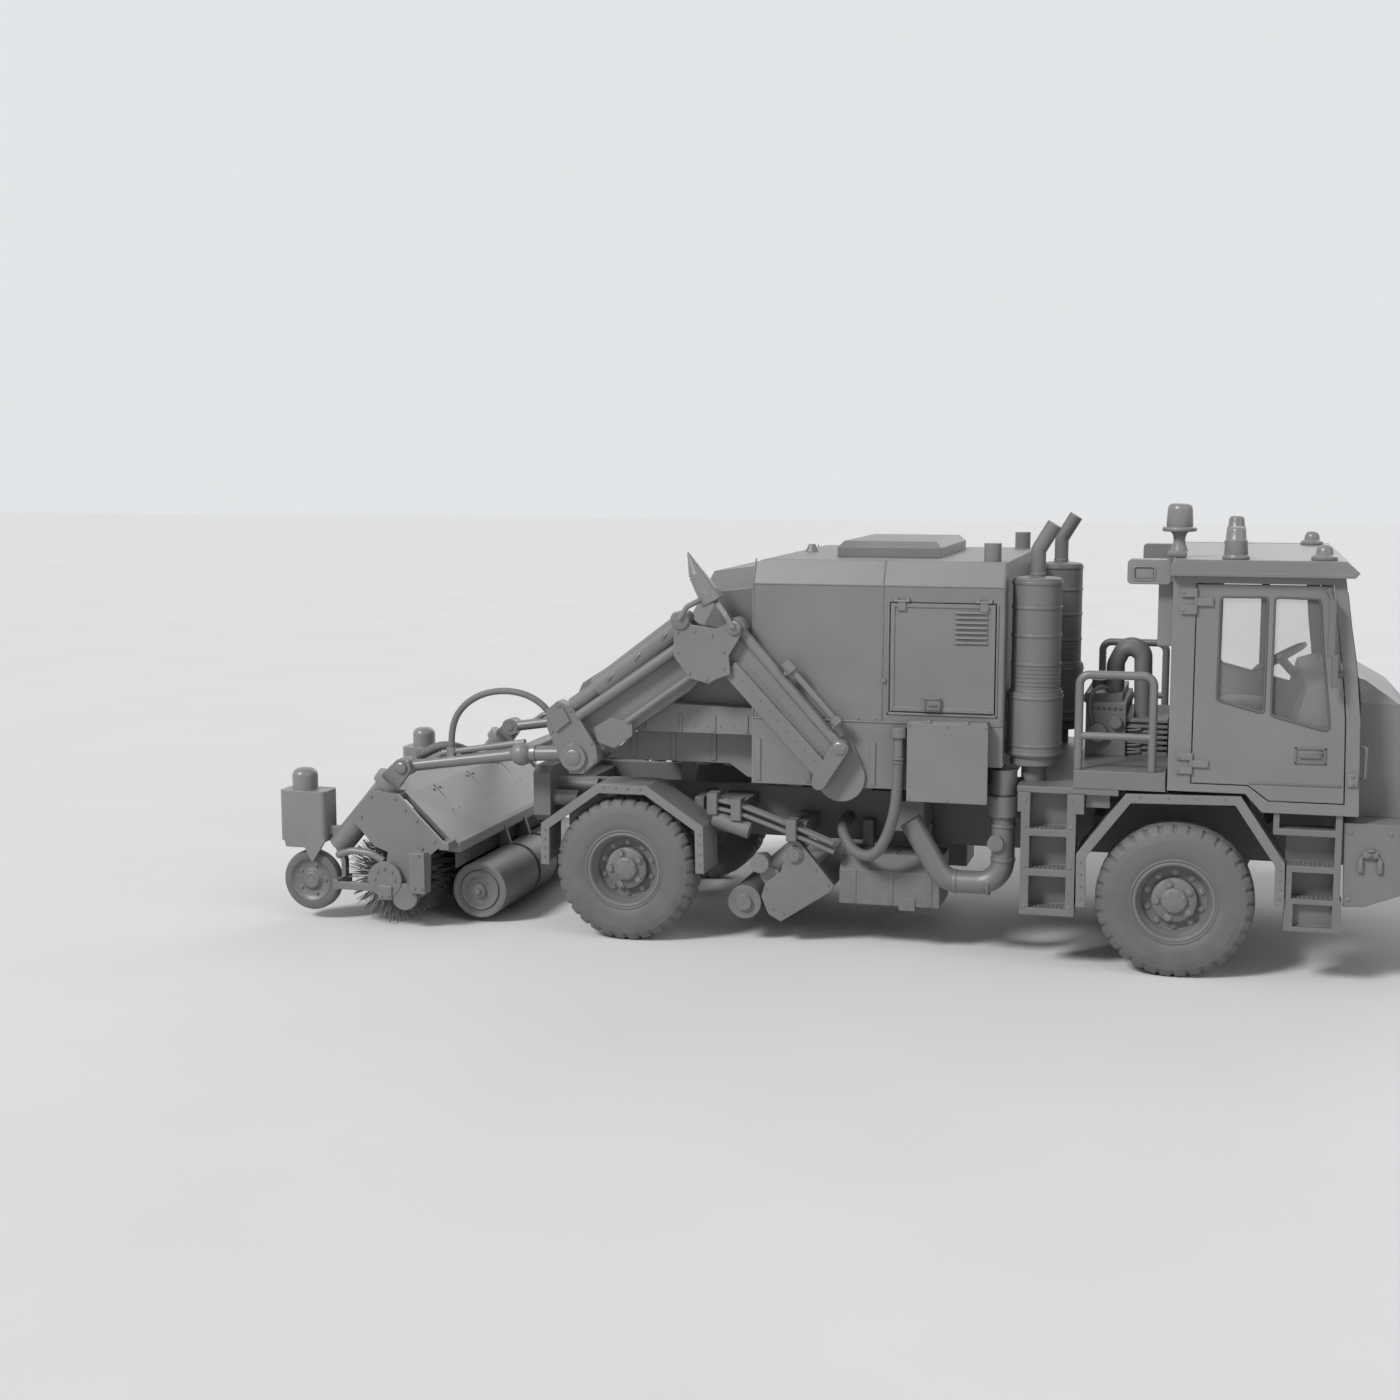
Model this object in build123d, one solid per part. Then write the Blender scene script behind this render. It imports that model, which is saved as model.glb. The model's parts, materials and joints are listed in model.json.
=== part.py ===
from build123d import *
import math
import os

os.makedirs("parts", exist_ok=True)

# Millimetres, +X forward, +Y to the machine's left, +Z up, ground at Z 0.
# Shapes are drawn with X measured from the front axle; save() moves them so
# that the origin lies on the ground below the middle of the machine.
FRONT_AXLE_X = 2400
WHEELBASE = 4050
AXLE_Z = 550
REAR_AXLE_X = -WHEELBASE
MOVE = 0.3          # running gap of a pin or shaft face
GAP = 0.4           # gap between pieces bolted face to face

# Road wheels
TYRE_R = 550
TYRE_WIDTH = 318
TYRE_OUTER_Y = 1270
RIM_R = 290
WELL_R = 235
HUB_R = 165
HUB_DEPTH = 69      # from the tyre's middle plane to the hub's inner face
TREAD_LUGS = 32

# Chassis
RAIL_HALF_Y = 430
RAIL_WEB = 70
RAIL_FACE_Y = RAIL_HALF_Y + RAIL_WEB / 2 + GAP
RAIL_BOTTOM = 720
RAIL_TOP = 1110
CHASSIS_REAR_X = -4760
CHASSIS_FRONT_X = 1780
REAR_PLATE = 140

# Cab
CAB_REAR_X = -70
CAB_FRONT_X = 1205
CAB_TOP_FRONT_X = 1060
CAB_HALF_Y = 1290
NOSE_Z = 1170
CAB_WALL = 45
DOOR_PIN = (87, -1302)     # x, y of the right door's hinge pins
DOOR_HINGES = ((1475, 1620), (2585, 2762))     # z, z of each hinge
CAB_FLOOR_Z = 1350
CAB_SILL_Z = 1225
CAB_EAVES_Z = 2850
ROOF_TOP_Z = 2960
ROOF_HALF_Y = 1370
ROOF_REAR_X = -85
ROOF_FRONT_X = 1145

# Engine and fan enclosure behind the platform
BOX_REAR_X = -3070
BOX_FRONT_X = -1224
BOX_HALF_Y = 1200
BOX_BOTTOM_Z = 1750
BOX_TOP_Z = 2912
BOX_CHAMFER_Z = 2735
BOX_CHAMFER_Y = 95

# Booms
BOOM_W = 120
BOOM_Y = BOX_HALF_Y + 30 + BOOM_W / 2
BOOM_FOOT = (-2381, 1558)
KNUCKLE = (-3160, 2421)
KNUCKLE_REAR = (-3570, 2473)
BOOM_END = (-4410, 1415)
HEAD_JOINT = (-5861, 1253)

# Sweeping head
BRUSH_R = 380
BRUSH_X = -5960
BRUSH_Z = 392
BRUSH_HALF = 1285
ROLLER_R = 222
ROLLER_X = -5325
ROLLER_Z = 262
ROLLER_HALF = 1000
GAUGE_R = 240
GAUGE_X = -6650
GAUGE_Z = 320
GAUGE_Y = 1207
GAUGE_WIDTH = 110
STRUT_Y = 1200
STRUT_TOP = (-5974, 1130)
STRUT_FOOT = (-6420, 600)
STRUT_R = 95


def box(x0, x1, y0, y1, z0, z1):
    size = (x1 - x0, y1 - y0, z1 - z0)
    return Pos((x0 + x1) / 2, (y0 + y1) / 2, (z0 + z1) / 2) * Box(*size)


def plate_xz(points, y0, y1, corner=0):
    """Flat shape of (x, z) points, from y0 to y1."""
    face = Plane.XZ * Polygon(*points, align=None)
    solid = Pos(0, y0, 0) * extrude(face, amount=y1 - y0, dir=(0, 1, 0))
    if corner:
        solid = fillet(solid.edges().filter_by(Axis.Y), corner)
    return solid


def plate_yz(points, x0, x1):
    """Flat shape of (y, z) points, from x0 to x1."""
    face = Plane.YZ * Polygon(*points, align=None)
    return Pos(x0, 0, 0) * extrude(face, amount=x1 - x0, dir=(1, 0, 0))


def plate_xy(points, z0, z1):
    """Flat shape of (x, y) points, from z0 to z1."""
    face = Polygon(*points, align=None)
    return Pos(0, 0, z0) * extrude(face, amount=z1 - z0, dir=(0, 0, 1))


def hull_xz(circles, y0, y1):
    """Belt-shaped plate round (x, z, r) circles, from y0 to y1."""
    edges = ShapeList()
    for x, z, r in circles:
        edges += (Pos(x, z) * Circle(r)).edges()
    face = Plane.XZ * make_hull(edges)
    return Pos(0, y0, 0) * extrude(face, amount=y1 - y0, dir=(0, 1, 0))


def rod(a, b, r, r_end=None):
    """Round bar between two points, tapered when r_end is given."""
    start, end = Vector(*a), Vector(*b)
    along = end - start
    plane = Plane(origin=start, z_dir=along)
    if r_end is None:
        return extrude(plane * Circle(r), amount=along.length)
    top = Plane(origin=end, x_dir=plane.x_dir, z_dir=along)
    return loft([plane * Circle(r), top * Circle(r_end)])


def bend_radii(points):
    """Radius of each bend of a hose, as large as its two runs allow."""
    radii = []
    for a, b, c in zip(points, points[1:], points[2:]):
        before, after = Vector(*b) - Vector(*a), Vector(*c) - Vector(*b)
        half_turn = math.radians(before.get_angle(after)) / 2
        radii.append(0.45 * min(before.length, after.length) / math.tan(half_turn))
    return radii


def hose(points, r):
    return pipe(points, r, bend_radii(points))


def disc_y(x, z, r, y0, y1):
    """Round disc or pin along Y."""
    return rod((x, y0, z), (x, y1, z), r)


def pipe(points, r, bends):
    """Round pipe along straight runs joined by arcs."""
    path = FilletPolyline(*points, radius=bends)
    start = Plane(origin=path @ 0, z_dir=path % 0)
    return sweep(start * Circle(r), path=path)


def left(shape):
    """The same shape on the machine's left side."""
    return mirror(shape, about=Plane.XZ)


def both(shape):
    return [shape, left(shape)]


def save(node, *shapes):
    solids = []
    for shape in shapes:
        solids += shape.solids()
    body = Compound(children=[Pos(FRONT_AXLE_X, 0, 0) * s for s in solids])
    export_step(body, f"parts/{node}.step")


# Road wheels

def road_wheel(x):
    """Tyre with shoulder notches, rim and hub on the right side, as one solid."""
    y_out = -TYRE_OUTER_Y
    y_in = y_out + TYRE_WIDTH
    y_mid = (y_in + y_out) / 2
    half = TYRE_WIDTH / 2
    # (radius, distance from the wheel's middle plane, + outward)
    outline = [
        (RIM_R, -half + 40), (430, -half), (505, -half + 22), (TYRE_R, -half + 62),
        (TYRE_R, half - 62), (505, half - 22), (430, half), (RIM_R, half - 12),
        (RIM_R - 28, half - 18), (RIM_R - 45, half - 60), (WELL_R, half - 70),
        (WELL_R - 12, half - 130), (HUB_R, half - 130), (HUB_R - 10, half - 78),
        (95, half - 70), (88, half - 40), (0, half - 34), (0, -HUB_DEPTH),
        (WELL_R, -HUB_DEPTH), (WELL_R + 8, -half + 40),
    ]
    face = Plane.XY * Polygon(*outline, align=None)
    body = revolve(face, axis=Axis.Y)
    body = Pos(x, y_mid, AXLE_Z) * (Rot(180, 0, 0) * body)
    depth = 46
    notch = Pos(0, 0, 0) * Box(26, depth * 2, 60)
    for side in (-1, 1):
        cuts = []
        for i in range(TREAD_LUGS):
            turn = Rot(0, 360 / TREAD_LUGS * (i + (0.5 if side > 0 else 0)), 0)
            cuts.append(Pos(x, y_mid + side * (half - 20), AXLE_Z) * (turn * (Pos(0, 0, TYRE_R) * notch)))
        body = body - cuts
    return body


def save_wheels():
    for place, x in (("front", 0), ("rear", REAR_AXLE_X)):
        wheel = road_wheel(x)
        save(f"wheel_{place}_right", wheel)
        save(f"wheel_{place}_left", left(wheel))


# Axles and steering

KNUCKLE_Y = 940
KINGPIN_R = 55
HUB_BACK_Y = TYRE_OUTER_Y - TYRE_WIDTH / 2 - HUB_DEPTH


def front_axle():
    beam = box(-70, 70, -KNUCKLE_Y + 37, KNUCKLE_Y - 37, 430, 560)
    seats = [rod((0, s * KNUCKLE_Y, 420), (0, s * KNUCKLE_Y, 570), KINGPIN_R + MOVE) for s in (-1, 1)]
    beam = beam - seats
    pads = [box(-90, 90, s * 380 - 70, s * 380 + 70, 545, 720 - GAP) for s in (-1, 1)]
    return beam + pads[0] + pads[1]


def steering_knuckle():
    """Right knuckle: kingpin block and stub carrying the wheel."""
    block = rod((0, -KNUCKLE_Y, 410), (0, -KNUCKLE_Y, 640), KINGPIN_R)
    stub = disc_y(0, AXLE_Z, 60, -HUB_BACK_Y + MOVE, -KNUCKLE_Y)
    return block + stub


def rear_axle():
    tube = disc_y(REAR_AXLE_X, AXLE_Z, 75, -HUB_BACK_Y + MOVE, HUB_BACK_Y - MOVE)
    gear = Pos(REAR_AXLE_X, 0, AXLE_Z) * Sphere(200)
    pads = [box(REAR_AXLE_X - 90, REAR_AXLE_X + 90, s * 430 - 60, s * 430 + 60, 560, RAIL_BOTTOM - GAP) for s in (-1, 1)]
    return tube + gear + pads[0] + pads[1]


# (x, width) of the cross members, (x, reach) of the fender outriggers, (x, top) of the cab mounts
CROSS_MEMBERS = ((-4700, 120), (-3300, 90), (-2300, 90), (-1100, 90), (700, 90), (1720, 120))
OUTRIGGERS = ((-4500, 880), (-3560, 880), (-560, 830), (640, 830))
CAB_MOUNTS = ((60, CAB_FLOOR_Z), (960, CAB_SILL_Z))


def chassis():
    """Ladder frame with bolted outriggers, cab mounts and rear plate."""
    half_web = RAIL_WEB / 2
    ladder_frame = None
    for s in (-1, 1):
        y = s * RAIL_HALF_Y
        rail = box(CHASSIS_REAR_X, CHASSIS_FRONT_X, y - half_web, y + half_web, RAIL_BOTTOM, RAIL_TOP)
        ladder_frame = rail if ladder_frame is None else ladder_frame + rail
    for x, w in CROSS_MEMBERS:
        ladder_frame += box(x - w / 2, x + w / 2, -RAIL_HALF_Y, RAIL_HALF_Y, RAIL_BOTTOM + 60, RAIL_TOP - 40)
    plate = plate_yz(
        [(-900, 870), (-820, 816), (820, 816), (900, 870), (900, 1200), (840, 1255), (-840, 1255), (-900, 1200)],
        CHASSIS_REAR_X - REAR_PLATE, CHASSIS_REAR_X - GAP,
    )
    pieces = [ladder_frame, plate]
    for s in (-1, 1):
        # (x end, y, z, r) of the capped tubes ahead of the rear plate
        for x, y, z, r in ((-4560, 800, 1000, 60), (-4440, 650, 1080, 62)):
            pieces.append(rod((CHASSIS_REAR_X, s * y, z), (x, s * y, z), r))
        for x, reach in OUTRIGGERS:
            y0, y1 = sorted((s * RAIL_FACE_Y, s * (reach - GAP)))
            pieces.append(box(x - 35, x + 35, y0, y1, 1000 if x < -4000 else 960, 1070 if x > -4000 else 1015))
        for x, top in CAB_MOUNTS:
            y = s * RAIL_HALF_Y
            pieces.append(box(x - 50, x + 50, y - half_web, y + half_web, RAIL_TOP + GAP, top - GAP))
    return pieces


# Fenders

FENDER_FRONT = [(-678, 480), (-683, 864), (-348, 1311), (429, 1329), (737, 872), (741, 569)]
FENDER_REAR = [(-4707, 564), (-4703, 883), (-4260, 1201), (-3858, 1204), (-3423, 918), (-3415, 561)]


def fender(points, inner_y):
    """Angular wheel arch of flat sheets with a deep outer lip."""
    sheet = Plane.XZ * make_face(Polyline(*points, *reversed(inset(points, 22)), close=True))
    lip = Plane.XZ * make_face(Polyline(*points, *reversed(inset(points, 66)), close=True))
    wide = Pos(0, -1280, 0) * extrude(sheet, amount=1280 - inner_y, dir=(0, 1, 0))
    edge = Pos(0, -1280, 0) * extrude(lip, amount=28, dir=(0, 1, 0))
    return wide + edge


def inset(points, t):
    """The open outline moved inward by t, each segment parallel to the first."""
    lines = []
    for (x0, z0), (x1, z1) in zip(points, points[1:]):
        length = math.hypot(x1 - x0, z1 - z0)
        nx, nz = (z1 - z0) / length, -(x1 - x0) / length
        lines.append(((x0 + nx * t, z0 + nz * t), (x1 + nx * t, z1 + nz * t)))
    out = [lines[0][0]]
    for (a, b), (c, d) in zip(lines, lines[1:]):
        out.append(crossing(a, b, c, d))
    out.append(lines[-1][1])
    return out


def crossing(a, b, c, d):
    rx, rz, sx, sz = b[0] - a[0], b[1] - a[1], d[0] - c[0], d[1] - c[1]
    u = ((c[0] - a[0]) * sz - (c[1] - a[1]) * sx) / (rx * sz - rz * sx)
    return (a[0] + u * rx, a[1] + u * rz)


# Platform, ladders and rails

DECK_Z = 1290
PLATFORM_Z = 1335
CURB_Z = 1464
DECK_HALF_Y = 1270


def platform():
    """Deck plates, the raised curb that carries the engine, and the legs on the rails."""
    deck = box(-1107, -401, -DECK_HALF_Y, DECK_HALF_Y, DECK_Z, PLATFORM_Z)
    neck = box(-401 + GAP, CAB_REAR_X - 5, -800, 800, DECK_Z, PLATFORM_Z)
    curb = box(-713, CAB_REAR_X - 12, -DECK_HALF_Y - 5, DECK_HALF_Y + 5, PLATFORM_Z + GAP, CURB_Z)
    pieces = [deck, neck, curb]
    for s in (-1, 1):
        y = s * RAIL_HALF_Y
        for x in (-1050, -640, -240):
            pieces.append(box(x - 40, x + 40, y - 33, y + 33, RAIL_TOP + GAP, DECK_Z - GAP))
        pieces.append(box(-630, -460, s * 1150 - 60, s * 1150 + 60, 1190, DECK_Z - GAP))
    return pieces


LADDER_X0, LADDER_X1 = -1075, -690


def ladder():
    y0, y1 = -1285, -1100
    sides = box(LADDER_X0, LADDER_X0 + 62, y0, y1, 405, DECK_Z - GAP) + box(LADDER_X1 - 62, LADDER_X1, y0, y1, 405, DECK_Z - GAP)
    sides += box(LADDER_X0 - 25, LADDER_X0 + 62, y0, y1, 1150, DECK_Z - GAP)
    sides += box(LADDER_X1 - 62, LADDER_X1 + 55, y0, y1, 1150, DECK_Z - GAP)
    for z in (405, 690, 980):
        sides += box(LADDER_X0, LADDER_X1, y0, y1, z, z + 52)
    # back plate towards the chassis
    sides += box(LADDER_X0, LADDER_X1, y1 - 12, y1, 405, DECK_Z - GAP)
    return sides


RAIL_R = 30


def guard_rail():
    y = -1235
    x0, x1 = -689, -180
    foot, top, mid = CURB_Z + GAP, 2140, 1707
    loop = pipe([(x0, y, foot), (x0, y, top), (x1, y, top), (x1, y, foot)], RAIL_R, 70)
    bar = rod((x0, y, mid), (x1, y, mid), RAIL_R - 4)
    return loop + bar


# Exhausts

def muffler():
    x, y = -1022, -970
    lower = rod((x, y, 1521), (x, y, 1982), 196)
    foot = rod((x, y, 1454), (x, y, 1530), 172)
    upper = rod((x, y, 1975), (x, y, 2790), 175)
    stack = pipe([(x, y, 2780), (x, y, 2995), (-910, y, 3182)], 55, 80)
    stand = rod((x, y, PLATFORM_Z + GAP), (x, y, 1460), 90)
    return lower + foot + upper + stack + stand


# Auxiliary engine on the platform

def auxiliary_engine():
    base = CURB_Z + GAP
    block = box(-690, -400, -560, 420, base, 1860)
    cover = rod((-680, -480, 1880), (-680, 380, 1880), 40) + box(-680, -430, -480, 380, 1850, 1920)
    fins = box(-410, -100, -520, 380, base, 1740)
    grooves = [box(-411, -99, -521, 381, z, z + 18) for z in range(1500, 1720, 40)]
    core = box(-410, -130, -490, 350, base, 1730)
    elbows = None
    for y in (-330, -130):
        e = pipe([(-500, y, 1700), (-500, y, 2120), (-420, y, 2290), (-300, y, 2200), (-290, y, 1725)], 62, 80)
        elbows = e if elbows is None else elbows + e
    return block + cover + (fins - grooves) + core + elbows


# Cab

# (x, z) of the cab's side, clockwise from the rear foot
CAB_SIDE = [
    (CAB_REAR_X, CAB_FLOOR_Z), (CAB_REAR_X, CAB_EAVES_Z), (CAB_TOP_FRONT_X, CAB_EAVES_Z),
    (1110, 2500), (1150, 2265), (1188, 1890), (CAB_FRONT_X, CAB_SILL_Z),
    (569, CAB_SILL_Z), (455, CAB_FLOOR_Z),
]
DOOR_SIDE = [
    (85, 1405), (85, 2800), (985, 2800), (1030, 2480), (1075, 2140), (1098, 1880),
    (1110, 1303), (609, 1303), (470, 1405),
]
WINDOW_REAR = [(245, 1994), (250, 2707), (560, 2710), (560, 1912)]
WINDOW_FRONT = [(606, 1900), (606, 2710), (900, 2703), (930, 2360), (995, 1830), (965, 1805)]


def cab_shell():
    """Hollow cab: side walls, rear wall, front wall and floor, with the doorways and windows cut."""
    outer = plate_xz(CAB_SIDE, -CAB_HALF_Y, CAB_HALF_Y)
    inner = plate_xz(inset_closed(CAB_SIDE, CAB_WALL), -CAB_HALF_Y + CAB_WALL, CAB_HALF_Y - CAB_WALL)
    shell = outer - inner
    door = plate_xz(DOOR_SIDE, -CAB_HALF_Y - 5, -CAB_HALF_Y + CAB_WALL + 5)
    shell = shell - [door, left(door)]
    # open under the roof
    shell = shell - box(CAB_REAR_X + CAB_WALL, 1010, -CAB_HALF_Y + 70, CAB_HALF_Y - 70, 2780, CAB_EAVES_Z + 1)
    rear_window = box(CAB_REAR_X - 5, CAB_REAR_X + CAB_WALL + 5, -900, 900, 1950, 2650)
    windscreen = plate_xz([(1020, 2080), (1300, 2080), (1200, 2740), (950, 2740)], -1180, 1180)
    shell = shell - [rear_window, windscreen]
    x, y = DOOR_PIN
    for z0, z1 in DOOR_HINGES:
        third = (z1 - z0) / 3
        ears = None
        for a, b in ((z0, z0 + third), (z1 - third, z1)):
            ear = rod((x, y, a), (x, y, b), 11) + box(x - 100, x, y - 6, -CAB_HALF_Y + 5, a, b)
            ears = ear if ears is None else ears + ear
        shell = shell + ears + left(ears)
    return shell


def inset_closed(points, t):
    out = []
    for i in range(len(points)):
        a, b, c = points[i - 1], points[i], points[(i + 1) % len(points)]
        ab = offset_line(a, b, t)
        bc = offset_line(b, c, t)
        out.append(crossing(ab[0], ab[1], bc[0], bc[1]))
    return out


def offset_line(p, q, t):
    length = math.hypot(q[0] - p[0], q[1] - p[1])
    nx, nz = (q[1] - p[1]) / length, -(q[0] - p[0]) / length
    return ((p[0] + nx * t, p[1] + nz * t), (q[0] + nx * t, q[1] + nz * t))


def cab_door():
    """Right door with its two window openings."""
    leaf = plate_xz(inset_closed(DOOR_SIDE, 8), -CAB_HALF_Y, -CAB_HALF_Y + CAB_WALL - 2)
    holes = [plate_xz(w, -CAB_HALF_Y - 5, -CAB_HALF_Y + CAB_WALL) for w in (WINDOW_REAR, WINDOW_FRONT)]
    leaf = leaf - holes
    x, y = DOOR_PIN
    for z0, z1 in DOOR_HINGES:
        third = (z1 - z0) / 3
        a, b = z0 + third + MOVE, z1 - third - MOVE
        leaf += rod((x, y, a), (x, y, b), 11) + box(x, x + 115, y - 6, -CAB_HALF_Y + 5, a, b)
    return leaf


def cab_roof():
    side = [(ROOF_REAR_X, CAB_EAVES_Z + GAP), (ROOF_REAR_X, ROOF_TOP_Z - 30), (-60, ROOF_TOP_Z), (1060, ROOF_TOP_Z), (ROOF_FRONT_X, ROOF_TOP_Z - 75), (1115, CAB_EAVES_Z + GAP)]
    slab = plate_xz(side, -ROOF_HALF_Y, ROOF_HALF_Y)
    return slab


def seats():
    out = []
    for y in (-480, 480):
        base = box(180, 560, y - 190, y + 190, CAB_FLOOR_Z + CAB_WALL + GAP, 1700)
        cushion = box(150, 640, y - 250, y + 250, 1690, 1830)
        back = plate_xz([(60, 1800), (190, 1800), (120, 2480), (10, 2480)], y - 240, y + 240)
        out.append(base + cushion + back)
    return out


def dashboard():
    desk = plate_xz([(740, 1700), (840, 2060), (1000, 2110), (1130, 2000), (1140, CAB_SILL_Z + CAB_WALL + GAP), (930, CAB_SILL_Z + CAB_WALL + GAP), (900, 1420)], -1150, 1150)
    column = rod((900, 480, 1905), (688, 480, 2127), 35)
    wheel = Pos(690, 480, 2125) * (Rot(0, -30, 0) * Torus(210, 17))
    spokes = Pos(690, 480, 2125) * (Rot(0, -30, 0) * (Box(410, 40, 14) + Box(40, 410, 14)))
    return desk + column + wheel + spokes


def bonnet():
    """Sloping nose ahead of the windscreen."""
    side = [(CAB_FRONT_X + GAP, NOSE_Z), (CAB_FRONT_X + GAP, 2110), (1250, 2100), (1500, 1940), (1900, 1500), (1960, NOSE_Z)]
    core = plate_xz(side, -950, 950)
    cut = plate_yz([(-960, 2300), (-960, 1960), (-700, 2105), (-700, 2300)], 1200, 2000)
    return core - [cut, left(cut)]


def bumper():
    """Side plates and front beam around the nose."""
    side = plate_xz([(1113, NOSE_Z - GAP), (1130, 585), (1263, 590), (1900, 840), (2060, 900), (2060, NOSE_Z - GAP)], -1235, -1190)
    beam = box(1900, 2090, -1235, 1235, 860, NOSE_Z - GAP)
    tray = box(1130, 2000, -1200, 1200, RAIL_TOP + GAP, NOSE_Z - GAP)
    body = side + left(side) + beam + tray
    holes = [rod((2030, s * 300, z), (2091, s * 300, z), 13) for s in (-1, 1) for z in (920, 1100)]
    return body - holes


def front_step():
    rails = box(650, 1105, -1265, -1080, 1070, 1115) + box(746, 1105, -1265, -1080, 815, 860)
    low = box(741, 1118, -1265, -1080, 396, 627) - box(800, 1060, -1270, -1200, 430, 590)
    posts = box(1060, 1105, -1265, -1080, 600, CAB_SILL_Z - GAP) + box(746, 786, -1265, -1080, 600, 860)
    posts += box(650, 690, -1265, -1080, 1070, CAB_SILL_Z - GAP)
    hang = box(741, 1105, -1090, -1080, 600, 1115)
    return rails + low + posts + hang


# Enclosure, hopper and lower body

BAY = (-2047, -1284, 1825, 2620)      # x, x, z, z of the door opening
BAY_DEPTH = 420
BAY_HINGES = (-1960, -1370)     # x of the lid's hinges
BAY_PIN = (-1216, 2629)     # y, z of the right lid's hinge pins
HATCH_X = (-2540, -1760)
HATCH_HALF_Y = 680
HATCH_HINGES_Y = (-450, 450)
HATCH_PIN = (HATCH_X[0] - 13, BOX_TOP_Z + 15)     # x, z of the hatch's hinge pins


def enclosure():
    """Upper box with chamfered roof edges and a shallow bay behind each side door."""
    h, c = BOX_HALF_Y, BOX_CHAMFER_Y
    section = [
        (-h, BOX_BOTTOM_Z), (-h, BOX_CHAMFER_Z), (-h + c, BOX_TOP_Z),
        (h - c, BOX_TOP_Z), (h, BOX_CHAMFER_Z), (h, BOX_BOTTOM_Z),
    ]
    body = plate_yz(section, BOX_REAR_X, BOX_FRONT_X)
    corner = body.edges().filter_by(Axis.Y).group_by(Axis.Z)[-1].sort_by(Axis.X)[0]
    body = fillet(corner, 90)
    x0, x1, z0, z1 = BAY
    bay = box(x0, x1, -h - 1, -h + BAY_DEPTH, z0, z1)
    body = body - [bay, left(bay)]
    y, z = BAY_PIN
    for x in BAY_HINGES:
        for s in (-1, 1):
            a, b = sorted((x + s * (30 + MOVE), x + s * 55))
            ear = rod((a, y, z), (b, y, z), 10) + box(a, b, y, -h + 5, z - 6, z + 22)
            body = body + ear + left(ear)
    x, z = HATCH_PIN
    for y in HATCH_HINGES_Y:
        for s in (-1, 1):
            a, b = sorted((y + s * (30 + MOVE), y + s * 50))
            body += disc_y(x, z, 10, a, b) + box(x - 10, x + 10, a, b, BOX_TOP_Z - 5, z)
    return body


def service_door():
    """Right lid of the bay, hinged along its top, with a louvre and a latch."""
    x0, x1, z0, z1 = BAY
    g = 6
    leaf = box(x0 + g, x1 - g, -BOX_HALF_Y - 12, -BOX_HALF_Y + 28, z0 + g, z1 - g)
    rim = box(x0 + g + 30, x1 - g - 30, -BOX_HALF_Y - 13, -BOX_HALF_Y - 6, z0 + g + 30, z1 - g - 30)
    slots = [box(-1567, -1356, -BOX_HALF_Y - 20, -BOX_HALF_Y + 40, z, z + 18) for z in range(2330, 2570, 36)]
    latch = box(-1787, -1669, -BOX_HALF_Y - 30, -BOX_HALF_Y - 5, z0 + g + 4, z0 + 110)
    leaf = leaf - rim - slots + latch
    y, z = BAY_PIN
    for x in BAY_HINGES:
        leaf += rod((x - 30, y, z), (x + 30, y, z), 10) + box(x - 30, x + 30, y - 4, y + 6, z - 70, z)
    return leaf


def roof_hatch():
    """Low hatch cover with the hinge barrels at its rear edge."""
    base = box(*HATCH_X, -HATCH_HALF_Y, HATCH_HALF_Y, BOX_TOP_Z + GAP, BOX_TOP_Z + 118)
    cover = chamfer(base.edges().group_by(Axis.Z)[-1], 45)
    x, z = HATCH_PIN
    for y in HATCH_HINGES_Y:
        cover += disc_y(x, z, 10, y - 30, y + 30) + box(x, x + 20, y - 30, y + 30, z - 6, z + 6)
    return cover


def vent_caps():
    out = []
    for x, y in ((-1340, -1020), (-1340, 1020), (-2880, 0)):
        out.append(rod((x, y, BOX_TOP_Z + GAP), (x, y, BOX_TOP_Z + 130), 62) if x > -2000
                   else rod((x, y, BOX_TOP_Z + GAP), (x, y, BOX_TOP_Z + 60), 55, 25))
    return out


LOWER_Z = 1255
TAIL = [(BOX_REAR_X - GAP, 1750), (BOX_REAR_X - GAP, 2850), (-3450, 2800), (-3960, 1850), (-4010, 1750)]
BAND = [(-4010, 1690), (-3808, 1822), (BOX_REAR_X - GAP, 1800), (BOX_REAR_X - GAP, 1600), (-3998, 1600)]
TUB = [
    (-4300, 1344), (-4010, 1600 - GAP), (BOX_REAR_X - GAP, 1600 - GAP), (BOX_REAR_X - GAP, 1245),
    (-3172, 1245), (-3314, 1344),
]
TAIL_HALF_Y = 1000
BAND_HALF_Y = 1120
TUB_HALF_Y = 900


def lower_body():
    """Box under the enclosure, recessed over the suction pipe, on its stands."""
    body = box(BOX_REAR_X, BOX_FRONT_X, -BOX_HALF_Y, BOX_HALF_Y, LOWER_Z, BOX_BOTTOM_Z - GAP)
    recess = box(-1340, BOX_FRONT_X + 1, -BOX_HALF_Y - 1, -970, LOWER_Z - 1, 1445)
    pieces = [body - [recess, left(recess)]]
    for s in (-1, 1):
        y = s * RAIL_HALF_Y
        for x in (-2900, -2350, -1500):
            pieces.append(box(x - 60, x + 60, y - 34, y + 34, RAIL_TOP + GAP, LOWER_Z - GAP))
    return pieces + both(boom_foot())


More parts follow.
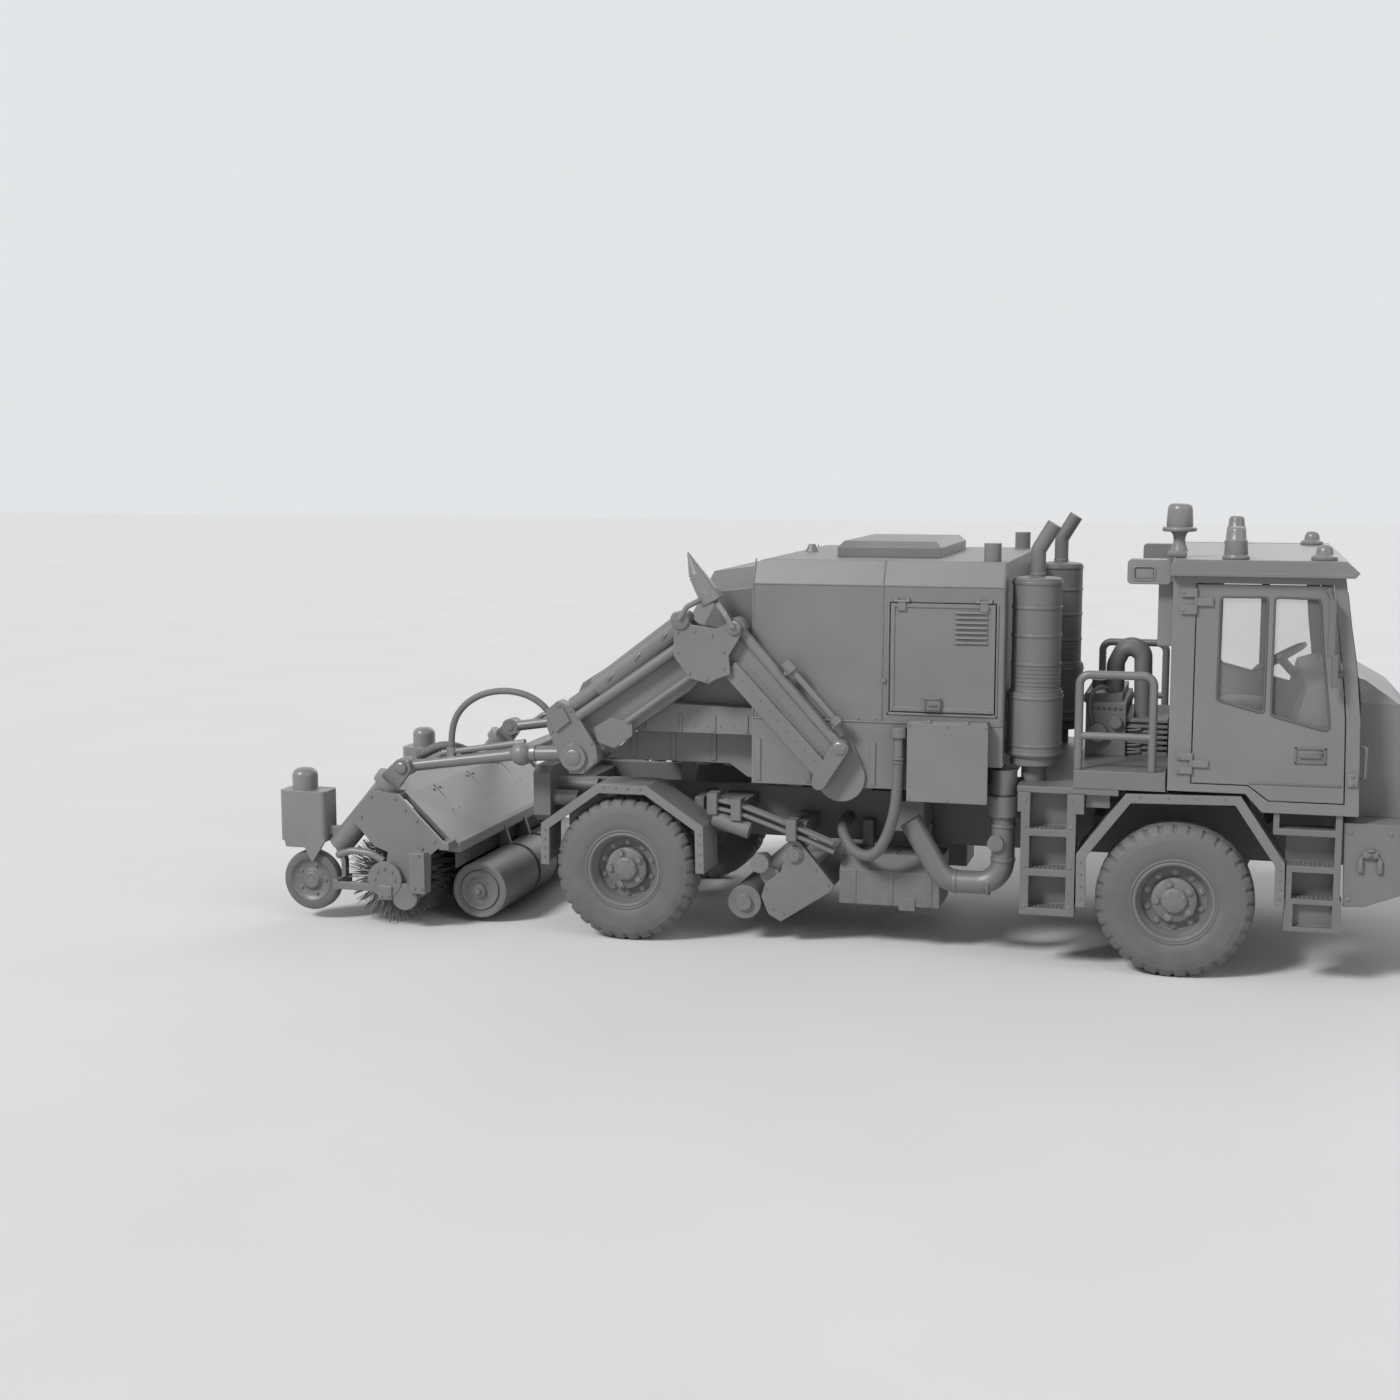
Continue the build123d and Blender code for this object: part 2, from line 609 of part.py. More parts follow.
def hopper():
    """Closed debris hopper: sloping tail, side band and tub, each a panel box of its own."""
    tail = plate_xz(TAIL, -TAIL_HALF_Y, TAIL_HALF_Y)
    edges = [e for e in tail.edges() if abs(abs(e.center().Y) - TAIL_HALF_Y) < 1 and e.center().Z > 2250]
    tail = chamfer(ShapeList(e for e in edges if e.length > 300 and e.center().X < BOX_REAR_X - 30), 150)
    band = plate_xz(BAND, -BAND_HALF_Y, BAND_HALF_Y)
    tub = plate_xz(TUB, -TUB_HALF_Y, TUB_HALF_Y)
    pieces = [tail - Pos(0, 0, GAP) * band, band, tub]
    for s in (-1, 1):
        y = s * RAIL_HALF_Y
        pieces.append(box(-3820, -3700, y - 34, y + 34, RAIL_TOP + GAP, 1344 - GAP))
    return pieces


def side_box():
    """Locker hung on the body's right side, with a lid that stands proud."""
    face = -BOX_HALF_Y - 100
    case = box(-1884, -1326, face, -BOX_HALF_Y - GAP, 1200, 1775)
    lid = box(-1895, -1315, face - 10, face + 1, 1190, 1760)
    return case + lid


# Filler, tanks and suction pipe

def filler():
    cap = rod((-1963, -1275, 1650), (-1963, -1275, 1725), 62)
    neck = rod((-1963, -1275, 1509), (-1963, -1275, 1655), 38)
    tie = box(-1990, -1936, -1275, -BOX_HALF_Y - GAP, 1560, 1600)
    return cap + neck + tie


HOSE_R = 43
FILLER_HOSE = [
    (-1963, -1275, 1509 - GAP), (-1963, -1275, 1240), (-2010, -1250, 985), (-2130, -1200, 745),
    (-2300, -1110, 740), (-2430, -940, 850), (-2470, -720, 900), (-2470, -RAIL_FACE_Y, 900),
]


def filler_hose():
    return hose(FILLER_HOSE, HOSE_R)


def tank():
    """Right tank under the rails, with its hangers as pieces of their own."""
    section = [(-1000, 340), (-1000, 596), (-880, 705), (-540, 705), (-540, 340)]
    body = plate_yz(section, -2440, -1690)
    body += box(-1990, -1870, -1010, -950, 310, 400)
    hangers = [box(x - 40, x + 40, -600, -RAIL_FACE_Y, 705 + GAP, 900) for x in (-2300, -1850)]
    return [body, *hangers]


def valve_box():
    return box(-2058, -1815, -980, -RAIL_FACE_Y, 905, 1130)


def suction_pipe():
    y = -1090
    run = pipe([(-1900, y, 1010), (-1640, y, 575), (-1218, y, 575), (-1218, y, 1250)], 84, [170, 180])
    cap = rod((-1218, y, 1240), (-1218, y, 1420), 92)
    clamp = rod((-1218, y, 1080), (-1218, y, 1228), 112)
    boss = disc_y(-1262, 890, 58, y - 115, y)
    arm = box(-1260, -1176, y, -RAIL_FACE_Y, 1105, 1200)
    return run + cap + clamp + boss + arm


# Middle sweeping unit

MID_PIN = (-2777, 696)
MID_ROLLER = (-3160, 312)
MID_ROLLER_R = 128
MID_HALF_Y = 1040
D_PLATE = [
    (-2798, 800), (-2745, 800), (-2617, 647), (-2474, 475), (-2504, 424), (-2879, 175),
    (-2975, 225), (-3032, 362), (-3001, 464), (-2881, 563),
]


def belly_pipes():
    """Two pairs of clamped pipes and the barrel beside the right rail."""
    out = None
    for y in (-1075, -1015):
        for dz in (0, 62):
            ends = [(-3440, 1040), (-3180, 990), (-2798, 860), (-2470, 735)]
            run = pipe([(x, y, z + dz) for x, z in ends], 17, [300, 900])
            out = run if out is None else out + run
    # (x, z) of the clamps
    for x, z in ((-3400, 1068), (-3215, 1030), (-2790, 895)):
        out += box(x - 38, x + 38, -1115, -975, z - 85, z + 75)
    return out + rod((-3400, -1045, 945), (-3120, -1045, 862), 66)


def mid_lug():
    """Right lug with the bore of the middle unit's pin, on its bar from the rail."""
    lug = plate_xz([(-2850, 930), (-2700, 930), (-2715, 640), (-2840, 640)], -975 + GAP, -935)
    bar = box(-2850, -2700, -940, -RAIL_FACE_Y, 820, 930)
    return (lug + bar) - disc_y(*MID_PIN, 30 + MOVE, -1000, -900)


def mid_housing():
    end = plate_xz(D_PLATE, -MID_HALF_Y, -982)
    end += disc_y(*MID_PIN, 62, -MID_HALF_Y - 18, -990)
    pin = disc_y(*MID_PIN, 30, -1000, -920)
    trough = plate_xz([(-2617, 600), (-2490, 470), (-2510, 430), (-2879, 190), (-2960, 230), (-3015, 362), (-2990, 455), (-2881, 545)], -990, 990)
    shaft = disc_y(-3037, 619, 55, -1070, -900)
    nut = disc_y(-3037, 619, 72, -1085, -1000)
    link = plate_xz([(-3080, 640), (-2900, 560), (-2960, 400), (-3040, 500)], -1020, -982)
    body = end + left(end) + pin + left(pin) + trough + shaft + left(shaft) + nut + left(nut) + link + left(link)
    for s in (-1, 1):
        body += hull_xz([(-2960, 330, 60), (*MID_ROLLER, 50)], s * 700 - 15, s * 700 + 15)
    bore = disc_y(*MID_ROLLER, 28 + MOVE, -1200, 1200)
    return body - bore


def mid_roller():
    body = disc_y(*MID_ROLLER, 28, -1050, 1050)
    for y0, y1 in ((-1050, -722), (-678, 678), (722, 1050)):
        body += disc_y(*MID_ROLLER, MID_ROLLER_R, y0, y1)
    body += disc_y(*MID_ROLLER, 60, -1080, -1040)
    return body


# Booms

def boom_foot():
    """Paddle-shaped plate on the body side with the bore of the boom's pin."""
    plate = hull_xz([(-2394, 1330, 180), (*BOOM_FOOT, 78)], -BOX_HALF_Y - 25, -BOX_HALF_Y - GAP)
    return plate - disc_y(*BOOM_FOOT, 32 + MOVE, -BOX_HALF_Y - 50, -BOX_HALF_Y)


def shifted(a, b, t):
    """Points a and b moved sideways by t, to the left of the way from a to b."""
    length = math.hypot(b[0] - a[0], b[1] - a[1])
    nx, nz = -(b[1] - a[1]) / length, (b[0] - a[0]) / length
    return (a[0] + nx * t, a[1] + nz * t), (b[0] + nx * t, b[1] + nz * t)


def boom_lower():
    """Right lower arm: top tube, recessed web and deep bottom chord."""
    y0, y1 = -BOOM_Y - BOOM_W / 2, -BOOM_Y + BOOM_W / 2
    tube = rod((BOOM_FOOT[0], -BOOM_Y, BOOM_FOOT[1]), (KNUCKLE[0], -BOOM_Y, KNUCKLE[1]), 42)
    low_a, low_b = (-2520, 1300), (-3255, 2078)
    up_a, up_b = shifted(low_a, low_b, -130)
    chord = plate_xz([low_a, low_b, up_b, up_a], y0 + 8, y1 - 4)
    web = plate_xz([BOOM_FOOT, KNUCKLE, (-3225, 2200), low_b, low_a], -BOOM_Y - 12, -BOOM_Y + 30)
    toe = hull_xz([(*BOOM_FOOT, 62), (-2535, 1300, 52)], y0, y1 - 4)
    eye = disc_y(*KNUCKLE, 72, y0, y1)
    pin = disc_y(*BOOM_FOOT, 32, y1 - 10, -BOX_HALF_Y - 3)
    side = -BOOM_Y - 40
    cylinder = rod((-2739, side, 2120), (-2405, side, 1755), 24)
    gland = rod((-2790, side, 2175), (-2730, side, 2110), 44)
    saddle = rod((-2425, side, 1778), (-2390, side, 1738), 44)
    ties = box(-2800, -2730, side, -BOOM_Y, 2080, 2150) + box(-2440, -2385, side, -BOOM_Y, 1700, 1760)
    arm = tube + chord + web + toe + eye + pin + cylinder + gland + saddle + ties
    return arm - disc_y(*KNUCKLE, 34 + MOVE, y0 - 50, y1 + 50)


KNUCKLE_PLATE = [
    (-3620, 2425), (-3620, 2203), (-3502, 2043), (-3356, 2006), (-3300, 2040), (-3189, 2080), (-3203, 2215),
    (-3122, 2349), (-3100, 2421), (-3160, 2480), (-3296, 2411), (-3480, 2435), (-3570, 2520),
]
END_PLATE = [
    (-4630, 1758), (-4534, 1837), (-4415, 1788), (-4235, 1506), (-4220, 1393), (-4340, 1290),
    (-4440, 1290), (-4510, 1380), (-4616, 1621),
]


def boom_upper():
    """Right upper arm: forked knuckle, web, two tubes and the end plate."""
    y0, y1 = -BOOM_Y - BOOM_W / 2 - 6, -BOOM_Y + BOOM_W / 2 + 6
    cheek_out = plate_xz(KNUCKLE_PLATE, y0 - 22, y0)
    cheek_in = plate_xz(KNUCKLE_PLATE, y1, y1 + 15)
    pin = disc_y(*KNUCKLE, 34, y0 - 32, y1 + 15)
    pin2 = disc_y(*KNUCKLE_REAR, 62, y0 - 32, y1 + 15)
    thick = rod((-3570, -BOOM_Y, 2440), (-4232, -BOOM_Y, 1938), 84)
    neck = rod((-4232, -BOOM_Y, 1938), (-4430, -BOOM_Y, 1800), 58)
    thin = rod((-3560, -BOOM_Y - 40, 2290), (-4380, -BOOM_Y - 40, 1722), 40)
    stay = rod((-3480, -BOOM_Y - 30, 2066), (-4000, -BOOM_Y - 30, 1695), 24)
    web = plate_xz([(-3560, 2470), (-3930, 2245), (-4362, 1970), (-4440, 1800), (-4220, 1454), (-3517, 1946), (-3420, 2060)], -BOOM_Y + 20, y1 + 4)
    end = plate_xz(END_PLATE, -BOOM_Y - 66, y1)
    boss = disc_y(-4410, 1415, 100, -BOOM_Y - 90, y1)
    panel = plate_xz([(-4600, 1715), (-4490, 1795), (-4430, 1690), (-4545, 1600)], -BOOM_Y - 84, -BOOM_Y - 60)
    side = plate_xz([(-4260, 1640), (-4120, 1720), (-3960, 1690), (-3960, 1590), (-4100, 1490), (-4230, 1530)], -BOOM_Y - 30, -BOOM_Y + 30)
    arm = cheek_out + cheek_in + pin + pin2 + thick + neck + thin + stay + web + end + boss + panel + side
    return arm - disc_y(*BOOM_END, 36 + MOVE, -BOOM_Y, y1 + 50)


def horn_lamp():
    """Pointed lamp on a ring above the right knuckle."""
    y = -BOOM_Y
    ring = rod((-3345, y, 2600), (-3385, y, 2670), 88)
    body = rod((-3385, y, 2665), (-3470, y, 2800), 80, 60)
    tip = rod((-3470, y, 2800), (-3535, y, 2960), 60, 6)
    side = y - BOOM_W / 2 - 38 - 20 - GAP
    stem = None
    for (x, z), knee, top in ((KNUCKLE, (-3215, 2510), (-3345, 2630)), (KNUCKLE_REAR, (-3510, 2570), (-3395, 2635))):
        for bar in (rod((x, side, z), (knee[0], side, knee[1]), 20), rod((knee[0], side, knee[1]), (top[0], y, top[1]), 20)):
            stem = bar if stem is None else stem + bar
        stem += Pos(knee[0], side, knee[1]) * Sphere(20)
    return ring + body + tip + stem


ARM_Y = BOOM_Y - 140


def head_arm():
    """Twin arms from the boom ends to the sweeping head, joined by a cross tube."""
    ex, ez = -4900, 1392
    jx, jz = HEAD_JOINT
    body = disc_y(ex, ez, 62, -ARM_Y, ARM_Y)
    for s in (-1, 1):
        y = s * ARM_Y
        body += rod((BOOM_END[0], y, BOOM_END[1]), (ex, y, ez), 58)
        body += disc_y(*BOOM_END, 92, y - 46, y + 46)
        a, b = sorted((y, s * BOOM_Y))
        body += disc_y(*BOOM_END, 36, a, b)
        body += Pos(ex, y, ez) * Sphere(92)
        body += rod((ex, y, ez), (jx + 60, y, jz + 8), 46)
        body += rod((ex + 30, y, ez + 90), (-5560, y, 1370), 24)
        body += rod((-5560, y, 1370), (-5700, y, 1270), 24)
        body += disc_y(jx, jz, 74, y - 46, y + 46)
    # (x, bottom, top) of the clips that hold the hoses on the right arm
    for x, z0, z1 in ((-5480, 1300, 1420), (-4620, 1390, 1475)):
        body += box(x - 30, x + 30, -ARM_Y - 30, -ARM_Y + 30, z0, z1 - GAP)
    return body - disc_y(jx, jz, 34 + MOVE, -1400, 1400)


def head_hoses():
    """Hoses that arch over the right arm between its elbow and its pivot block."""
    y = -ARM_Y
    arc = hose([
        (-5480, y, 1420), (-5480, y, 1570), (-5400, y, 1730), (-5240, y, 1840), (-5040, y, 1880),
        (-4840, y, 1850), (-4690, y, 1750), (-4620, y, 1610), (-4620, y, 1475),
    ], 26)
    low_y = -ARM_Y + 46 + 40 + GAP
    low = hose([
        (-5800, low_y, 1315), (-5680, low_y, 1390), (-5540, low_y, 1420), (-5400, low_y, 1385),
        (-5270, low_y, 1325), (-5140, low_y, 1330), (-5000, low_y, 1375),
    ], 40)
    return [arc, low]


# Sweeping head

HOOD = [
    (-5430, 650), (-5832, 1038), (-5920, 1100), (-6080, 1100), (-6330, 850), (-6330, 790),
    (-6100, 1050), (-5930, 1060), (-5862, 1008), (-5460, 620),
]


END_PLATE_HEAD = [
    (-5946, 600), (-6060, 640), (-6260, 860), (-6080, 1090), (-5860, 1060), (-5480, 690), (-5600, 590),
    (-5610, 300), (-5740, 220), (-5850, 205), (-5930, 262), (-6020, 262), (-6060, 340), (-5980, 480),
]


def head_frame():
    """Brush hood, end plates, struts with the gauge wheel arms, and the roller's hangers."""
    hood = plate_xz(HOOD, -1200, 1200)
    beam = box(-5500, -5400, -1200, 1200, 600, 680)
    end = plate_xz(END_PLATE_HEAD, -1340, -1302)
    end += plate_xz([(-5860, 1055), (-6080, 1085), (-6080, 1040), (-5860, 1015)], -1340, -1190)
    end += box(-5520, -5440, -1340, -1190, 640, 700)
    end += disc_y(BRUSH_X, BRUSH_Z, 140, -1385, -1330)
    end += box(-6010, -5900, -1400, -1330, 235, 340)
    end += box(-5740, -5615, -1410, -1330, 300, 620)
    drum = disc_y(-5800, 262, 105, -1380, -1330)
    strut = rod((STRUT_TOP[0], -STRUT_Y, STRUT_TOP[1]), (STRUT_FOOT[0], -STRUT_Y, STRUT_FOOT[1]), STRUT_R)
    collar = rod((-5956, -STRUT_Y, 1154), (-5998, -STRUT_Y, 1100), 130)
    neck = hull_xz([(*HEAD_JOINT, 72), (-5990, 1110, 90)], -1250, -1200)
    pin = disc_y(*HEAD_JOINT, 34, -1262, -1100)
    shelf = box(-6120, -5960, -1250, -1190, 1010, 1080)
    leg = plate_xz([(-6470, 640), (-6380, 570), (-6362, 480), (-6362, 285), (-6398, 285), (-6398, 480)], -1232, -1168)
    bar = box(-6398, -5940, -1382, -1339, 292, 350)
    cross = box(-6398, -6362, -1382, -1118, 285, 365)
    arm = hull_xz([(GAUGE_X, GAUGE_Z, 60), (-6380, 325, 18)], -1148, -1118)
    perch = box(-6500 + GAP, -6380, -1230, -1170, 690, 760)
    axle = disc_y(GAUGE_X, GAUGE_Z, 28, -GAUGE_Y - GAUGE_WIDTH / 2, -1130)
    curved = pipe([(-6360, -1350, 560), (-6250, -1350, 600), (-6080, -1350, 585), (-5980, -1350, 530)], 28, [180, 180])
    curl = rod((-6360, -1200, 560), (-6360, -1350, 560), 30)
    hang = plate_xz([(-5500, 640), (-5400, 640), (-5270, 230), (-5380, 230)], -245, -205)
    hang += disc_y(ROLLER_X, ROLLER_Z, 70, -245, -205)
    side = end + drum + perch + strut + collar + neck + pin + shelf + leg
    side += bar + cross + arm + axle + curved + curl + hang
    body = hood + beam + side + left(side)
    bore = disc_y(ROLLER_X, ROLLER_Z, 35 + MOVE, -400, 400)
    brush_bore = disc_y(BRUSH_X, BRUSH_Z, 45 + MOVE, -1360, 1360)
    return body - [bore, brush_bore]


BRISTLE_ROWS = 30


def brush():
    body = disc_y(BRUSH_X, BRUSH_Z, 110, -BRUSH_HALF, BRUSH_HALF)
    body += disc_y(BRUSH_X, BRUSH_Z, 45, -1344, 1344)
    for i in range(BRISTLE_ROWS):
        row = Pos(0, 0, (BRUSH_R + 90) / 2) * Box(9, 2 * BRUSH_HALF - 4, BRUSH_R - 90)
        body += Pos(BRUSH_X, 0, BRUSH_Z) * (Rot(0, 360 / BRISTLE_ROWS * i, 0) * row)
    return body


def roller():
    body = disc_y(ROLLER_X, ROLLER_Z, 35, -ROLLER_HALF, ROLLER_HALF)
    for y0, y1 in ((-ROLLER_HALF, -255), (-195, 195), (255, ROLLER_HALF)):
        body += disc_y(ROLLER_X, ROLLER_Z, ROLLER_R, y0, y1)
    ring = revolve(Plane.XY * Polygon((150, -30), (185, -30), (185, 10), (150, 10), align=None), axis=Axis.Y)
    body -= Pos(ROLLER_X, -ROLLER_HALF, ROLLER_Z) * ring
    body += disc_y(ROLLER_X, ROLLER_Z, 55, -ROLLER_HALF - 30, -ROLLER_HALF + 10)
    return body


def gauge_wheel():
    """Small right wheel that sets the height of the head."""
    half = GAUGE_WIDTH / 2
    outline = [
        (28 + MOVE, -half), (80, -half), (95, -half + 20), (150, -half + 20), (165, -half), (215, -half),
        (GAUGE_R, -half + 28), (GAUGE_R, half - 28), (215, half), (165, half), (150, half - 20),
        (95, half - 20), (80, half), (28 + MOVE, half),
    ]
    body = revolve(Plane.XY * Polygon(*outline, align=None), axis=Axis.Y)
    return Pos(GAUGE_X, -GAUGE_Y, GAUGE_Z) * body


def rear_box():
    """Rear lamp box with a round beacon above the right gauge wheel."""
    case = box(-6890, -6500, -1300, -1060, 641, 1040)
    case = fillet(case.edges().filter_by(Axis.Z), 40)
    foot = plate_xz([(-6860, 660), (-6500, 660), (-6540, 590), (-6617, 472), (-6680, 590), (-6840, 590)], -1300, -1274)
    lamp = rod((-6720, -1180, 1035), (-6720, -1180, 1208), 100)
    lamp = fillet(lamp.edges().group_by(Axis.Z)[-1], 60)
    return case + foot + lamp


# Roof equipment

def roof_beacons():
    out = []
    for s in (-1, 1):
        b = rod((340, s * 1180, ROOF_TOP_Z + GAP), (340, s * 1180, ROOF_TOP_Z + 30), 92)
        b += rod((340, s * 1180, ROOF_TOP_Z + 25), (340, s * 1180, ROOF_TOP_Z + 225), 78, 62)
        out.append(b)
        d = rod((920, s * 1160, ROOF_TOP_Z + GAP), (920, s * 1160, ROOF_TOP_Z + 30), 88)
        d += rod((920, s * 1160, ROOF_TOP_Z + 25), (920, s * 1160, ROOF_TOP_Z + 110), 60, 45)
        out.append(d)
    return out


def stalk_beacon():
    x, y = -45, -1010
    foot = box(-120, 10, -1080, -940, ROOF_TOP_Z + GAP, ROOF_TOP_Z + 50)
    stem = rod((x, y, ROOF_TOP_Z + 40), (x, y, ROOF_TOP_Z + 185), 62)
    flange = rod((x, y, ROOF_TOP_Z + 180), (x, y, ROOF_TOP_Z + 212), 118)
    lamp = rod((x, y, ROOF_TOP_Z + 205), (x, y, ROOF_TOP_Z + 376), 92, 84)
    return foot + stem + flange + lamp


def work_lamps():
    out = []
    pod = box(-380, ROOF_REAR_X - GAP, -1290, -1120, 2785, 2955)
    pod = fillet(pod.edges().filter_by(Axis.Y), 30)
    pod -= box(-330, -200, -1295, -1282, 2820, 2900)
    pod += box(-170, CAB_REAR_X - GAP, -1180, -1050, 2350, 2800)
    return [pod, left(pod)]


def mirror_arm():
    """Right pair of mirrors on the front edge of the cab door."""
    face = -CAB_HALF_Y - 140
    head = box(955, 1000, face, face + 65, 2330, 2715)
    head += box(985, 1025, face, face + 55, 2120, 2345)
    # ends of each arm on the mirror and on the door, as (x, z)
    for a, b in (((975, 2700), (955, 2760)), ((1000, 2200), (1052, 2200))):
        head += rod((a[0], face + 35, a[1]), (b[0], -CAB_HALF_Y - 16, b[1]), 14)
        head += disc_y(*b, 24, -CAB_HALF_Y - 28, -CAB_HALF_Y - GAP)
    return head


def drive_engine():
    return box(1230, 1640, -RAIL_FACE_Y + RAIL_WEB + 2 * GAP, RAIL_FACE_Y - RAIL_WEB - 2 * GAP, 720, RAIL_TOP)


def main():
    save_wheels()
    save("front_axle", front_axle())
    knuckle = steering_knuckle()
    save("knuckle_right", knuckle)
    save("knuckle_left", left(knuckle))
    save("rear_axle", rear_axle())
    save("chassis_frame", *chassis())
    save("front_fenders", *both(fender(FENDER_FRONT, 830)))
    save("rear_fenders", *both(fender(FENDER_REAR, 880)))
    save("platform", *platform())
    save("ladders", *both(ladder()))
    save("guard_rails", *both(guard_rail()))
    save("mufflers", *both(muffler()))
    save("auxiliary_engine", auxiliary_engine())
    save("cab_shell", cab_shell())
    door = cab_door()
    save("cab_door_right", door)
    save("cab_door_left", left(door))
    save("cab_roof", cab_roof())
    save("seats", *seats())
    save("dashboard", dashboard())
    save("bonnet", bonnet())
    save("bumper", bumper())
    save("front_steps", *both(front_step()))

    save("enclosure", enclosure(), *vent_caps())
    door = service_door()
    save("service_door_right", door)
    save("service_door_left", left(door))
    save("roof_hatch", roof_hatch())
    save("lower_body", *lower_body())
    save("hopper", *hopper())
    save("side_boxes", *both(side_box()))
    save("filler_neck", filler())
    save("filler_hose", filler_hose())
    save("tanks", *tank(), *[left(p) for p in tank()], valve_box())
    save("suction_pipe", suction_pipe())
    bracket = box(-3425, -3190, -975 + GAP, -RAIL_FACE_Y, 960, 1060)
    save("mid_carrier", belly_pipes(), bracket, *both(mid_lug()))
    save("mid_housing", mid_housing())
    save("mid_roller", mid_roller())
    save("boom_lower_arms", *both(boom_lower()))
    save("boom_upper_arms", *both(boom_upper()))
    save("horn_lamp", horn_lamp())
    save("head_arm", head_arm())
    save("head_hoses", *head_hoses())
    save("head_frame", head_frame())
    save("brush", brush())
    save("roller", roller())
    wheel = gauge_wheel()
    save("gauge_wheel_right", wheel)
    save("gauge_wheel_left", left(wheel))
    save("rear_boxes", *both(rear_box()))
    save("roof_beacons", *roof_beacons(), stalk_beacon())
    save("work_lamps", *work_lamps())
    mirrors = mirror_arm()
    save("mirrors_right", mirrors)
    save("mirrors_left", left(mirrors))
    save("drive_engine", drive_engine())


main()
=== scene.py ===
import json
import math
import random

import bmesh
import bpy
from mathutils import Matrix, Vector


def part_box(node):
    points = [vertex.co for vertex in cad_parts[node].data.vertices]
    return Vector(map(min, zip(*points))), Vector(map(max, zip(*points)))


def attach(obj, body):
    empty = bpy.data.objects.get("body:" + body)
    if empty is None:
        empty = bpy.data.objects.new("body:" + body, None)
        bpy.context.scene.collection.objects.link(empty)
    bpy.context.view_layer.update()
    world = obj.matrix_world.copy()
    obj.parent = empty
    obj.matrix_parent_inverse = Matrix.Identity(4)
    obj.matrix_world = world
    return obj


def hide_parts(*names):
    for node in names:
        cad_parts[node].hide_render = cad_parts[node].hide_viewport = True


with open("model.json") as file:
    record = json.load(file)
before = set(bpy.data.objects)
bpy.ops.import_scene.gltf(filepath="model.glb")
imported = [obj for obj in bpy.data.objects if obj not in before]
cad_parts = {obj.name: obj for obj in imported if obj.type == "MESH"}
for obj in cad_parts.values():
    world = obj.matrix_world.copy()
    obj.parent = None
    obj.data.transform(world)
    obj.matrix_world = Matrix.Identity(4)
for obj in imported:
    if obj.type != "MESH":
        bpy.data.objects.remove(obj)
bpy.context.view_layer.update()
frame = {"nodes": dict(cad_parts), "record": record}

# Metres, in the frame of the model. Shapes on the machine are placed in the
# drawing's own millimetres from the front axle, which at() turns into metres.
FRONT_AXLE_X = 2400
TURN = 2 * math.pi
AXIS_X, AXIS_Y, AXIS_Z = Vector((1, 0, 0)), Vector((0, 1, 0)), Vector((0, 0, 1))
RIGHT, LEFT = -1, 1
SIDES = (("right", RIGHT), ("left", LEFT))
draw = random.Random(7)


def at(x, y, z):
    return Vector((x + FRONT_AXLE_X, y, z)) / 1000


# Materials

def feed(tree, socket, value):
    if isinstance(value, bpy.types.NodeSocket):
        tree.links.new(value, socket)
    else:
        socket.default_value = value


def node(tree, kind, inputs=None, **settings):
    made = tree.nodes.new(kind)
    for key, value in settings.items():
        setattr(made, key, value)
    for key, value in (inputs or {}).items():
        feed(tree, made.inputs[key], value)
    return made


def blank(name):
    material = bpy.data.materials.new(name)
    material.use_nodes = True
    tree = material.node_tree
    tree.nodes.clear()
    shader = node(tree, "ShaderNodeBsdfPrincipled")
    out = node(tree, "ShaderNodeOutputMaterial")
    tree.links.new(shader.outputs[0], out.inputs[0])
    return material, tree, shader


def spread(tree, value, low, high, to_low=0.0, to_high=1.0):
    """value from low..high to to_low..to_high, clamped."""
    inputs = {"Value": value, "From Min": low, "From Max": high, "To Min": to_low, "To Max": to_high}
    return node(tree, "ShaderNodeMapRange", inputs).outputs[0]


def times(tree, a, b):
    return node(tree, "ShaderNodeMath", {0: a, 1: b}, operation="MULTIPLY").outputs[0]


def mixed(tree, share, one, two):
    """Blend of two colours, each a value or a socket."""
    made = tree.nodes.new("ShaderNodeMix")
    made.data_type = "RGBA"
    for socket, value in ((made.inputs[0], share), (made.inputs[6], one), (made.inputs[7], two)):
        feed(tree, socket, value)
    return made.outputs[2]


def grey(tone, warm=0.0):
    return (tone * (1 + warm), tone, tone * (1 - warm), 1.0)


GRAIN_DEPTH = 0.0012
THREAD_SCALE = 160.0


